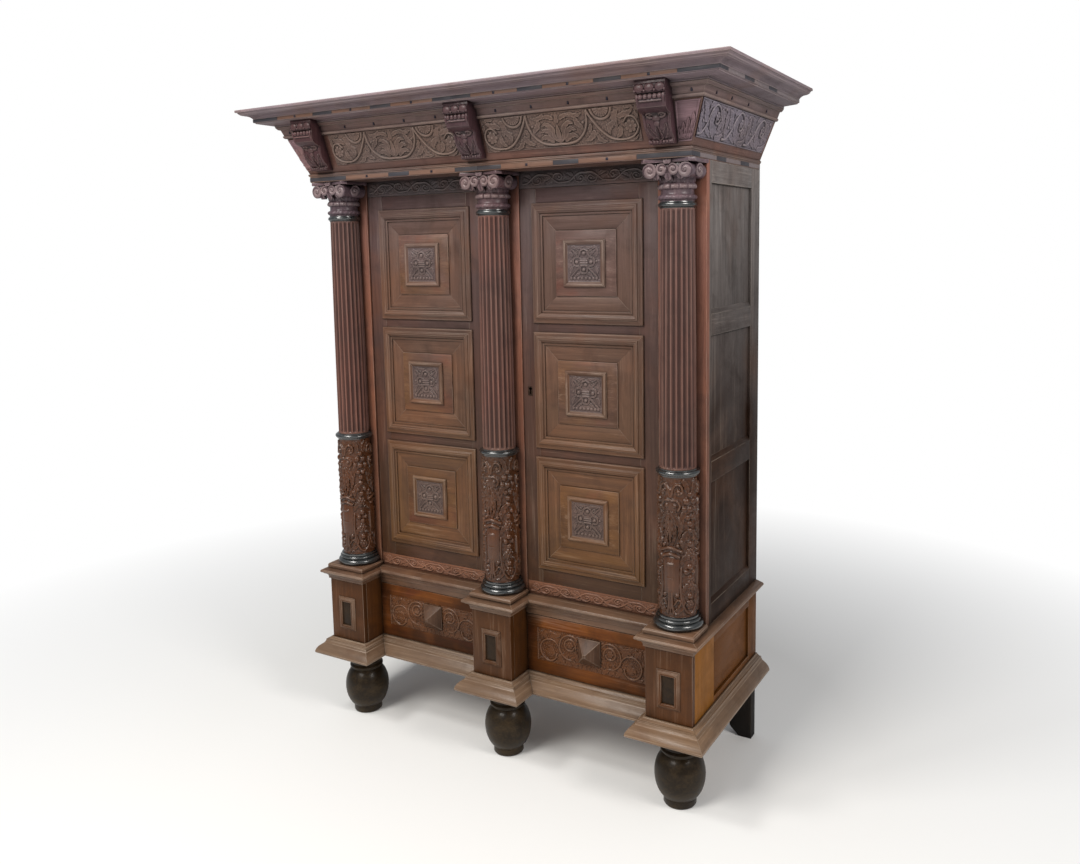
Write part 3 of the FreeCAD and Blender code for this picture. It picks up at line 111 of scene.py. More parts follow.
# ------------------------------------------------------------------ camera, light and floor
def place_camera():
    """Camera at standing height, in front of the right side."""
    ahead, up = Vector(CAMERA_AHEAD).normalized(), Vector(CAMERA_UP)
    right = ahead.cross(up).normalized()
    up = right.cross(ahead)
    turn = Matrix((right, up, -ahead)).transposed()
    bpy.ops.object.camera_add(location=CAMERA_PLACE)
    camera = bpy.context.object
    camera.rotation_mode = "QUATERNION"
    camera.rotation_quaternion = turn.to_quaternion()
    camera.data.sensor_width = SENSOR
    camera.data.lens = FOCAL_PIXELS * SENSOR / PICTURE_WIDTH
    camera.data.shift_x = (PICTURE_WIDTH / 2 - CENTRE_PIXEL[0]) / PICTURE_WIDTH
    camera.data.shift_y = (CENTRE_PIXEL[1] - PICTURE_HEIGHT / 2) / PICTURE_WIDTH
    camera.data.clip_end = 100
    bpy.context.scene.camera = camera


def lamp(name, place, target, size, watts, colour):
    """Soft square lamp that faces a point of the cupboard."""
    bpy.ops.object.light_add(type="AREA", location=place)
    light = bpy.context.object
    light.name = name
    light.data.size = size
    light.data.energy = watts
    light.data.color = colour
    light.rotation_mode = "QUATERNION"
    light.rotation_quaternion = (Vector(target) - Vector(place)).to_track_quat("-Z", "Y")


def tone(colour, share=1.0):
    """Colour from the 0 to 255 numbers of a colour chart, darkened to a share of them."""
    linear = []
    for part in colour:
        part = part * share / 255
        linear.append(part / 12.92 if part <= 0.04045 else ((part + 0.055) / 1.055) ** 2.4)
    return (*linear, 1.0)


class Shader:
    """Node tree of one material or of the world, with its nodes added in one call each."""

    def __init__(self, owner):
        owner.use_nodes = True
        self.tree = owner.node_tree
        self.tree.nodes.clear()

    def add(self, kind, values=(), **settings):
        """New node. values are (socket, value or output) pairs; the rest are its own settings."""
        node = self.tree.nodes.new(kind)
        for key, value in settings.items():
            setattr(node, key, value)
        for socket, value in values:
            if isinstance(value, bpy.types.NodeSocket):
                self.tree.links.new(value, node.inputs[socket])
            else:
                node.inputs[socket].default_value = value
        return node

    def math(self, operation, first, second):
        """Sum, product or the like of numbers or outputs."""
        return self.add("ShaderNodeMath", [(0, first), (1, second)], operation=operation).outputs[0]

    def plus(self, first, second):
        """Sum of numbers or outputs."""
        return self.math("ADD", first, second)

    def times(self, first, second):
        """Product of numbers or outputs."""
        return self.math("MULTIPLY", first, second)

    def mix(self, share, first, second):
        """Colour between two colours."""
        values = [(0, share), (6, first), (7, second)]
        return self.add("ShaderNodeMix", values, data_type="RGBA").outputs[2]

    def layer(self, name, output="Fac"):
        """Value that the piece's own mesh carries."""
        return self.add("ShaderNodeAttribute", attribute_name=name).outputs[output]

    def noise(self, place, scale, detail=3.0, rough=0.5, distortion=0.0):
        """Noise of a stretched place; scale is one number for each axis."""
        spot = self.add("ShaderNodeMapping", [(0, place), (3, scale)]).outputs[0]
        values = [("Vector", spot), ("Scale", 1.0), ("Detail", detail), ("Roughness", rough),
                  ("Distortion", distortion)]
        return self.add("ShaderNodeTexNoise", values).outputs[0]

    def step(self, value, low, high, first=0.0, last=1.0):
        """Value mapped from one range to another, held at both ends."""
        values = [(0, value), (1, low), (2, high), (3, first), (4, last)]
        return self.add("ShaderNodeMapRange", values).outputs[0]

    def blend(self, output, share, first, second):
        """Ends the tree in a mix of two shader nodes."""
        values = [(0, share), (1, first.outputs[0]), (2, second.outputs[0])]
        both = self.add("ShaderNodeMixShader", values)
        self.add(output, [(0, both.outputs[0])])

    def surface(self, colour, rough, height, strength, depth, *more):
        """Ends the tree in a surface: its colour, roughness, fine relief and other sockets."""
        values = [("Strength", strength), ("Distance", depth), ("Height", height)]
        bump = self.add("ShaderNodeBump", values).outputs[0]
        values = [("Base Color", colour), ("Roughness", rough), ("Normal", bump), *more]
        body = self.add("ShaderNodeBsdfPrincipled", values)
        self.add("ShaderNodeOutputMaterial", [(0, body.outputs[0])])


MATERIALS = {}


def new_finish(name):
    """Empty tree of a new finish, and the place in the piece in metres."""
    MATERIALS[name] = bpy.data.materials.new(name)
    shader = Shader(MATERIALS[name])
    return shader, shader.add("ShaderNodeTexCoord").outputs["Object"]


def light_studio():
    """Plain soft light; what the camera sees behind the floor is white."""
    world = bpy.data.worlds.new("studio")
    bpy.context.scene.world = world
    sky = Shader(world)
    path = sky.add("ShaderNodeLightPath").outputs
    shown = sky.math("MAXIMUM", path["Is Camera Ray"], path["Is Transmission Ray"])
    room = sky.add("ShaderNodeBackground", [(0, (0.93, 0.96, 1.0, 1)), (1, 0.34)])
    white = sky.add("ShaderNodeBackground", [(0, (1, 1, 1, 1)), (1, 1.0)])
    sky.blend("ShaderNodeOutputWorld", shown, room, white)
    lamp("key_lamp", (-0.7, -4.0, 4.3), (0, -0.1, 1.0), 2.0, 190, (1.0, 0.97, 0.92))
    lamp("ceiling_lamp", (-1.5, -2.1, 4.6), (0, -0.1, 1.0), 0.9, 62, (1.0, 0.98, 0.95))
    lamp("side_lamp", (3.1, -1.0, 3.0), (0.8, 0, 2.0), 1.2, 64, (1.0, 0.96, 0.92))


def lay_floor():
    """Pale floor that turns white away from the cupboard."""
    bpy.ops.mesh.primitive_plane_add(size=60, location=(0, 0, 0))
    floor = bpy.context.object
    floor.name = "floor"
    paint, place = new_finish("pale_floor")
    away = paint.add("ShaderNodeVectorMath", [(0, place)], operation="LENGTH").outputs["Value"]
    seen = paint.add("ShaderNodeLightPath").outputs["Is Camera Ray"]
    values = [("Base Color", (0.88, 0.88, 0.87, 1)), ("Roughness", 0.8)]
    matt = paint.add("ShaderNodeBsdfPrincipled", values)
    white = paint.add("ShaderNodeEmission", [(0, (1, 1, 1, 1)), (1, 1.0)])
    share = paint.times(paint.step(away, 1.2, 3.2), seen)
    paint.blend("ShaderNodeOutputMaterial", share, matt, white)
    floor.data.materials.append(MATERIALS["pale_floor"])


# ------------------------------------------------------------------ finishes
def wood(name, low, high, dark, warm, rough=0.5, figure=1.0, wax=0.06, relief=0.0, dirt_and_shade=0.75,
         rise=(0.75, 2.25), gleam=0.22, stain=None):
    """Old oak. low and high are its tones near the floor and at the top, dark is the tone of
    pores, dirt and painted shade, and warm the reddish tone of rubbed patches. figure is how
    strongly the grain shows, relief how strongly painted shade darkens the hollows of carving
    and a painted highlight lightens its crests, dirt_and_shade how much painted shade, which
    stands also for dirt, darkens corners and hollows, and rise the heights in metres between
    which low turns to high. gleam is how much the bare wood mirrors, and stain the tone of red
    patches."""
    oak, place = new_finish(name)
    grain = oak.layer("grain", "Vector")
    height = oak.add("ShaderNodeSeparateXYZ", [(0, place)]).outputs[2]
    fibres = oak.noise(grain, (8, 420, 420), 4, 0.6)
    streaks = oak.noise(grain, (1.9, 46, 46), 5, 0.66, 0.9)
    flame = oak.noise(grain, (0.9, 9, 9), 3, 0.55, 1.6)
    pores = oak.step(oak.noise(grain, (60, 1300, 1300), 2, 0.5), 0.58, 0.7)
    patches = oak.noise(place, (2.7, 2.7, 2.7), 4, 0.6, 0.5)
    clouds = oak.noise(place, (8, 8, 8), 4, 0.62, 0.6)
    risen = oak.step(oak.plus(height, oak.times(patches, 0.5)), rise[0] + 0.2, rise[1] + 0.2)
    base = oak.mix(risen, tone(low), tone(high))
    base = oak.mix(oak.times(oak.step(patches, 0.46, 0.66), 0.6), base, tone(warm))
    if stain:
        reds = oak.noise(place, (3.4, 3.4, 5.5), 4, 0.62, 0.8)
        base = oak.mix(oak.step(reds, 0.5, 0.66, 0.0, 0.55), base, tone(stain))
    light = oak.mix(0.16, base, (1, 0.86, 0.7, 1))
    shade = oak.plus(oak.times(fibres, 0.3), oak.times(streaks, 0.45))
    shade = oak.plus(shade, oak.times(flame, 0.25))
    colour = oak.mix(oak.step(shade, 0.4, 0.62, 0.55 * figure, 0.0), base, tone(dark))
    colour = oak.mix(oak.step(clouds, 0.5, 0.72, 0.0, 0.45), colour, tone(dark))
    colour = oak.mix(oak.step(shade, 0.55, 0.68, 0.0, 0.5 * figure), colour, light)
    colour = oak.mix(oak.times(pores, 0.3), colour, tone(dark))
    worn = oak.times(oak.layer("edge"), oak.step(clouds, 0.35, 0.62, 0.0, 0.7))
    colour = oak.mix(worn, colour, light)
    # Painted shade: ambient occlusion darkens corners, hollows and gaps between parts, and stands
    # also for dirt.
    open_air = oak.add("ShaderNodeAmbientOcclusion", [("Distance", 0.03)], samples=6).outputs["AO"]
    colour = oak.mix(oak.step(open_air, 0.3, 0.85, dirt_and_shade, 0.0), colour, tone(dark, 0.35))
    # Painted shade in the hollows of carving and painted highlight on its crests.
    if relief:
        carved = oak.layer("relief")
        colour = oak.mix(oak.step(carved, 0.0, 0.45, relief, 0.0), colour, tone(dark, 0.42))
        colour = oak.mix(oak.times(oak.step(carved, 0.6, 1.0), relief * 0.5), colour, light)
    shine = oak.step(clouds, 0.3, 0.7, rough - 0.1, rough + 0.1)
    bump = oak.math("SUBTRACT", oak.times(fibres, 0.6), oak.times(pores, 0.7))
    oak.surface(colour, oak.plus(shine, oak.times(pores, 0.15)),
                oak.plus(bump, oak.times(clouds, 3.0)), 0.35, 0.0006,
                ("Specular IOR Level", gleam), ("Coat Weight", wax), ("Coat Roughness", 0.3))


def ebony(name, body, worn, rough, sheen=0.05, gleam=0.15):
    """Blackened wood; sheen is how much polish is left on it, gleam how much it mirrors."""
    black, place = new_finish(name)
    patches = black.noise(place, (18, 18, 26), 4, 0.6, 0.3)
    scuffs = black.noise(place, (120, 120, 160), 3, 0.6)
    fine = black.noise(place, (60, 60, 900), 2, 0.5)
    mixed = black.plus(black.times(patches, 0.6), black.times(scuffs, 0.4))
    colour = black.mix(black.step(mixed, 0.42, 0.66), tone(body), tone(worn))
    shine = black.step(mixed, 0.3, 0.7, rough - 0.07, rough + 0.16)
    bump = black.plus(black.times(scuffs, 0.5), black.times(fine, 0.4))
    black.surface(colour, shine, bump, 0.3, 0.0006, ("Specular IOR Level", gleam),
                  ("Coat Weight", sheen), ("Coat Roughness", 0.16))


def iron(name):
    """Forged iron, dark brown with rust in its pits."""
    metal, place = new_finish(name)
    pits = metal.noise(place, (160, 160, 160), 4, 0.65)
    rust = metal.noise(place, (40, 40, 40), 4, 0.6, 0.5)
    colour = metal.mix(metal.step(rust, 0.5, 0.66), tone((58, 54, 52)), tone((94, 58, 38)))
    shine = metal.step(rust, 0.45, 0.65, 0.4, 0.75)
    metal.surface(colour, shine, pits, 0.5, 0.0005, ("Metallic", 0.75))


def make_finishes():
    """Every finish of the cupboard."""
    wood("door_oak", (94, 61, 30), (113, 92, 92), (52, 34, 26), (136, 92, 44), dirt_and_shade=0.4,
         stain=(124, 66, 50))
    wood("door_stile_oak", (72, 47, 26), (96, 77, 79), (45, 30, 26), (104, 65, 46))
    wood("moulding_oak", (103, 69, 35), (100, 83, 83), (51, 34, 27), (119, 77, 50))
    wood("strip_oak", (107, 69, 48), (148, 97, 84), (56, 36, 32), (150, 94, 66))
    # side_oak's steep turn from near black at the floor to pale grey at the top is painted light,
    # lighter towards the top.
    wood("side_oak", (44, 25, 13), (136, 130, 128), (26, 16, 11), (86, 58, 40), rise=(1.15, 2.05),
         gleam=0.1)
    wood("base_oak", (78, 44, 13), (86, 52, 19), (41, 21, 6), (101, 56, 17))
    wood("base_moulding_oak", (125, 102, 82), (122, 100, 82), (71, 50, 36), (128, 96, 65),
         rough=0.42, wax=0.22, stain=(108, 80, 60))
    wood("base_top_oak", (112, 85, 66), (112, 85, 66), (54, 37, 26), (126, 86, 60), rough=0.42,
         wax=0.18, stain=(90, 58, 42))
    wood("base_side_oak", (99, 58, 18), (113, 66, 22), (54, 29, 8), (124, 73, 22), figure=0.6,
         gleam=0.1)
    wood("base_cheek_oak", (141, 89, 26), (141, 89, 26), (78, 46, 11), (157, 99, 28), figure=0.6,
         gleam=0.1)
    wood("recess_oak", (78, 44, 20), (84, 48, 22), (38, 21, 11), (158, 90, 34), gleam=0.1,
         stain=(92, 44, 26))
    wood("pull_oak", (92, 66, 50), (92, 66, 50), (40, 26, 18), (98, 70, 52), rough=0.4, wax=0.08,
         gleam=0.15)
    wood("column_oak", (106, 72, 57), (118, 90, 86), (57, 32, 29), (130, 83, 70), rough=0.4,
         wax=0.16, relief=0.66)
    wood("carved_column_oak", (81, 47, 24), (87, 56, 35), (37, 19, 9), (107, 58, 28), rough=0.28,
         wax=0.45, relief=0.34, dirt_and_shade=0.4)
    wood("capital_oak", (102, 79, 77), (109, 92, 102), (37, 25, 27), (119, 87, 86), rough=0.34,
         wax=0.25, relief=0.7, dirt_and_shade=0.5)
    wood("frieze_oak", (103, 71, 59), (107, 80, 73), (48, 32, 31), (128, 83, 66))
    wood("carved_frieze_oak", (110, 87, 78), (112, 94, 89), (53, 41, 38), (126, 96, 80),
         relief=0.62)
    wood("carved_flank_oak", (125, 113, 121), (129, 120, 132), (53, 50, 56), (133, 116, 118),
         relief=0.85, dirt_and_shade=0.7)
    wood("carved_plaque_oak", (102, 81, 71), (109, 95, 99), (41, 32, 32), (115, 89, 78), rough=0.4,
         relief=0.7)
    wood("carved_drawer_oak", (93, 53, 23), (99, 59, 26), (38, 21, 8), (119, 69, 31), rough=0.38,
         relief=0.5)
    wood("carved_rail_oak", (129, 85, 61), (94, 94, 100), (43, 31, 30), (145, 95, 70), relief=0.5)
    # carved_corner_oak is made lighter than the front carving as painted light, against the shadow
    # the brackets cast on it.
    wood("carved_corner_oak", (128, 95, 89), (137, 110, 118), (59, 43, 46), (158, 107, 89),
         relief=0.35, dirt_and_shade=0.5)
    wood("bracket_oak", (70, 46, 46), (84, 60, 66), (30, 18, 21), (94, 56, 56), rough=0.4, wax=0.14,
         relief=0.7)
    wood("inlay_light", (112, 84, 70), (118, 90, 78), (80, 60, 50), (126, 92, 74), figure=0.7)
    wood("inlay_grey", (110, 100, 102), (120, 110, 112), (84, 74, 76), (122, 106, 100), figure=0.5)
    wood("inlay_dark", (56, 55, 59), (64, 63, 69), (38, 36, 40), (66, 59, 59), figure=0.5)
    ebony("peg_black", (30, 28, 38), (52, 50, 62), 0.35)
    # bed_oak, a darker copy of crown_oak for the band under the crown's overhang, is partly the
    # band's own tone and partly painted shade.
    wood("bed_oak", (102, 82, 76), (116, 96, 94), (50, 38, 38), (122, 90, 78), figure=0.9)
    wood("crown_oak", (120, 102, 99), (140, 124, 130), (66, 54, 56), (138, 108, 98), figure=0.8)
    wood("plain_oak", (126, 100, 74), (122, 99, 76), (72, 53, 38), (136, 104, 72), rough=0.72,
         wax=0.0)
    wood("dark_plank", (22, 15, 9), (22, 15, 9), (12, 8, 6), (34, 22, 13), rough=0.7, wax=0.0)
    ebony("ebony_black", (13, 16, 17), (37, 42, 43), 0.25, 0.85, 0.8)
    ebony("foot_black", (31, 22, 11), (56, 43, 25), 0.4, 0.12)
    ebony("tablet_black", (34, 23, 13), (50, 36, 22), 0.45)
    iron("forged_iron")


# ------------------------------------------------------------------ boards
def solids_of(node):
    """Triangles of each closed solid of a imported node, in the order they come."""
    mesh = NODES[node].data
    spots = [tuple(round(part, 6) for part in vertex.co) for vertex in mesh.vertices]
    solids, open_edges, triangles = [], set(), []
    for polygon in mesh.polygons:
        corners = [spots[index] for index in polygon.vertices]
        triangles.append(corners)
        for index, end in enumerate(corners):
            start = corners[index - 1]
            if (end, start) in open_edges:
                open_edges.discard((end, start))
            else:
                open_edges.add((start, end))
        if not open_edges:
            solids.append(triangles)
            triangles = []
    if triangles:
        solids.append(triangles)
    return solids


def reach_of(spots):
    """Lowest and highest corner of the box round some places."""
    axes = [[spot[axis] for spot in spots] for axis in range(3)]
    return [min(axis) for axis in axes], [max(axis) for axis in axes]


def board_shift(low, high):
    """Place in the log that a board is cut from, so that no two boards match."""
    seed = [abs(low[axis] * 37.7 + high[axis] * 17.3) for axis in range(3)]
    return Vector(((seed[0] * 5.1) % 7, (seed[1] * 3.7 + seed[0]) % 5,
                   (seed[2] * 2.9 + seed[1]) % 6))


def add_board(total, triangles, finish, layers):
    """Adds one solid with worn edges to a mesh, with the grain along its longest side."""
    board = bmesh.new()
    for corners in triangles:
        board.faces.new([board.verts.new(corner) for corner in corners])
    bmesh.ops.remove_doubles(board, verts=board.verts, dist=TOUCHING)
    bmesh.ops.dissolve_limit(board, angle_limit=math.radians(1), verts=board.verts,
                             edges=board.edges)
    bmesh.ops.recalc_face_normals(board, faces=board.faces)
    low, high = reach_of([vertex.co for vertex in board.verts])
    order = sorted(range(3), key=lambda axis: low[axis] - high[axis])
    thin = high[order[2]] - low[order[2]]
    sharp = [edge for edge in board.edges if len(edge.link_faces) == 2
             and edge.calc_face_angle(0) > EDGE_ANGLE]
    made = bmesh.ops.bevel(board, geom=sharp, offset=min(EDGE_WEAR, thin * 0.2), segments=2,
                           profile=0.5, affect="EDGES", clamp_overlap=True)
    worn, shift = set(made["faces"]), board_shift(low, high)
    copies = {vertex: total.verts.new(vertex.co) for vertex in board.verts}
    for face in board.faces:
        new = total.faces.new([copies[vertex] for vertex in face.verts])
        new.smooth = True
        new.material_index = finish
        for loop in new.loops:
            spot = loop.vert.co
            loop[layers[0]] = Vector([spot[axis] for axis in order]) + shift
            loop[layers[1]] = 1.0 if face in worn else 0.0
            loop[layers[2]] = 0.5
    board.free()


def boards(node, material, choose=None):
    """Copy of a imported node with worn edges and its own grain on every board. choose gives
    the finish of a board from its lowest and highest corner: True keeps the first finish and
    False leaves the board out."""
    total = bmesh.new()
    layers = (total.loops.layers.float_vector.new("grain"), total.loops.layers.float.new("edge"),
              total.loops.layers.float.new("relief"))
    names = [material]
    for triangles in solids_of(node):
        finish = True
        if choose:
            finish = choose(*reach_of([corner for corners in triangles for corner in corners]))
        if finish is True:
            finish = material
        if finish:
            if finish not in names:
                names.append(finish)
            add_board(total, triangles, names.index(finish), layers)
    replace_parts(new_piece(node + "_boards", total, names, node), node)


def new_piece(name, total, finishes, node):
    """Piece from a finished mesh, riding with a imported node."""
    mesh = bpy.data.meshes.new(name)
    total.to_mesh(mesh)
    total.free()
    piece = bpy.data.objects.new(name, mesh)
    bpy.context.collection.objects.link(piece)
    for finish in finishes:
        mesh.materials.append(MATERIALS[finish])
    sharpen(piece)
    settle(piece, node)
    return piece


def pick(piece):
    """Selects one piece alone."""
    bpy.ops.object.select_all(action="DESELECT")
    piece.select_set(True)
    bpy.context.view_layer.objects.active = piece


def repeat(piece, node, shift=(0.0, 0.0, 0.0), log=0.0, mirrored=False):
    """Copy of a piece, moved by mm or mirrored to the left, cut from another place in the log."""
    pick(piece)
    bpy.ops.object.duplicate()
    twin = bpy.context.object
    twin.name = piece.name
    if mirrored:
        twin.data.transform(Matrix.Diagonal((-1.0, 1.0, 1.0, 1.0)))
        twin.data.flip_normals()
    twin.data.transform(Matrix.Translation(Vector(shift) * MM))
    grain = twin.data.attributes["grain"].data
    spots = np.empty(3 * len(grain), dtype=np.float32)
    grain.foreach_get("vector", spots)
    grain.foreach_set("vector", spots + log)
    settle(twin, node)
    return twin


def sharpen(piece, angle=SMOOTH_ANGLE):
    """Smooth shading up to an angle."""
    pick(piece)
    bpy.ops.object.shade_smooth_by_angle(angle=angle)
    piece.select_set(False)


def settle(piece, node):
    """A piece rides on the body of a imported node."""
    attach(piece, NODES[node]["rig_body"])


PLAIN_FINISH = {
    "architrave": "moulding_oak", "back_boards": "plain_oak", "base_floor": "base_moulding_oak",
    "base_side_left": "base_side_oak", "base_side_right": "base_side_oak",
    "base_top": "base_top_oak", "brackets": "bracket_oak", "case_ceiling": "plain_oak",
    "case_floor": "plain_oak", "case_side_left": "side_oak", "case_side_right": "side_oak",
    "cornice_top": "plain_oak", "door_left_frame": "door_stile_oak",
    "drawer_divider": "plain_oak", "drawer_runners": "plain_oak",
    "ebony_tablets": "tablet_black", "foot_rear_left": "dark_plank",
    "foot_rear_right": "dark_plank", "frieze_boards": "frieze_oak",
    "rail_lower": "carved_rail_oak", "rail_upper": "carved_rail_oak", "shelves": "plain_oak",
    "door_left_bolt": "forged_iron", "door_left_ironwork": "forged_iron",
    "door_right_pivots": "forged_iron", "lock_bolt": "forged_iron", "lock_case": "forged_iron"}
SIDE_FINISH = {
    "front_stile_%s": "strip_oak", "drawer_%s_front": "recess_oak",
    "drawer_%s_box": "plain_oak", "drawer_%s_pull": "pull_oak", "door_%s_panels": "door_oak",
    "door_%s_mouldings": "moulding_oak"}


def square(low, high):
    """A board of a door's square, and not the small plaque, which is carved anew."""
    return high[2] - low[2] > 0.15


def cheek(low, high):
    """The outer pedestals' cheeks, which face the sides."""
    outer = max(high[0], -low[0]) > 0.7 and high[0] - low[0] < 0.05
    return "base_cheek_oak" if outer else True


def dress_boards():
    """Boards of the whole cupboard in their finishes."""
    finishes = dict(PLAIN_FINISH)
    for side in ("left", "right"):
        finishes.update({pattern % side: finish for pattern, finish in SIDE_FINISH.items()})
    for node, finish in finishes.items():
        boards(node, finish, square if finish == "door_oak" else None)
    for side in COLUMN_SIDES:
        boards("pedestal_" + side, "base_oak", cheek)
    boards("door_right_frame", "door_stile_oak",
           lambda low, high: "strip_oak" if high[0] < STRIP_EDGE else True)
    boards("crown_moulding", "crown_oak",
           lambda low, high: "bed_oak" if high[2] < CROWN_FOOT else True)


# ------------------------------------------------------------------ carving
def placed(across, depth, up):
    """Places in metres from mm across, behind the doors' faces and above the floor."""
    across, depth, up = np.broadcast_arrays(across, depth, up)
    return np.stack([across, depth + DOOR_PLANE, up], axis=-1) * MM


def grid_piece(name, node, finish, places, grain, relief, angle):
    """Closed piece from rows of places: seams that meet are joined and open ends are closed."""
    rows, columns = places.shape[:2]
    bpy.ops.object.select_all(action="DESELECT")
    bpy.ops.mesh.primitive_grid_add(x_subdivisions=columns - 1, y_subdivisions=rows - 1, size=1)
    piece = bpy.context.object
    piece.name = name
    mesh = piece.data
    places = np.ascontiguousarray(places, dtype=np.float32)
    mesh.vertices.foreach_set("co", places.ravel())
    for label, kind, field, values, shape in (
            ("grain", "FLOAT_VECTOR", "vector", grain, places.shape),
            ("edge", "FLOAT", "value", 0.0, (rows, columns)),
            ("relief", "FLOAT", "value", relief, (rows, columns))):
        values = np.ascontiguousarray(np.broadcast_to(values, shape), dtype=np.float32)
        mesh.attributes.new(label, kind, "POINT").data.foreach_set(field, values.ravel())
    bpy.ops.object.mode_set(mode="EDIT")
    bpy.ops.mesh.select_all(action="SELECT")
    bpy.ops.mesh.remove_doubles(threshold=TOUCHING)
    bpy.ops.mesh.fill_holes(sides=0)
    bpy.ops.mesh.select_all(action="SELECT")
    bpy.ops.mesh.normals_make_consistent(inside=False)
    bpy.ops.object.mode_set(mode="OBJECT")
    mesh.materials.clear()
    mesh.materials.append(MATERIALS[finish])
    sharpen(piece, angle)
    settle(piece, node)
    return piece


def dome(part):
    """Height of a half round, from 1 in its middle to 0 at its edge."""
    return np.sqrt(np.clip(1 - part ** 2, 0, 1))


def smooth(points, steps=8):
    """Flowing line through points."""
    points = np.array(points, float)
    ends = np.vstack([2 * points[0] - points[1], points, 2 * points[-1] - points[-2]])
    line = []
    for one, two, three, four in zip(ends, ends[1:], ends[2:], ends[3:]):
        for step in range(steps):
            part = step / steps
            bend = (2 * one - 5 * two + 4 * three - four) * part ** 2
            bend = bend + (3 * two - one - 3 * three + four) * part ** 3
            line.append(0.5 * (2 * two + (three - one) * part + bend))
    return np.array(line + [points[-1]])


def spiral(middle, start, finish, first, turns):
    """Line that winds in round middle from radius start to radius finish, from angle first."""
    share = np.linspace(0, 1, max(int(abs(turns) * 22), 8))
    angle = math.radians(first) + 2 * math.pi * turns * share
    radius = start + (finish - start) * share ** 0.85
    ring = np.stack([np.cos(angle), np.sin(angle)], axis=1)
    return middle + radius[:, None] * ring


def soften(height, reach):
    """Heights averaged with their neighbours."""
    for axis in (0, 1):
        margin = [(reach, reach) if axis == one else (0, 0) for one in (0, 1)]
        wide = np.pad(height, margin, mode="edge")
        size = height.shape[axis]
        parts = [wide.take(range(first, first + size), axis) for first in range(2 * reach + 1)]
        height = sum(parts) / len(parts)
    return height


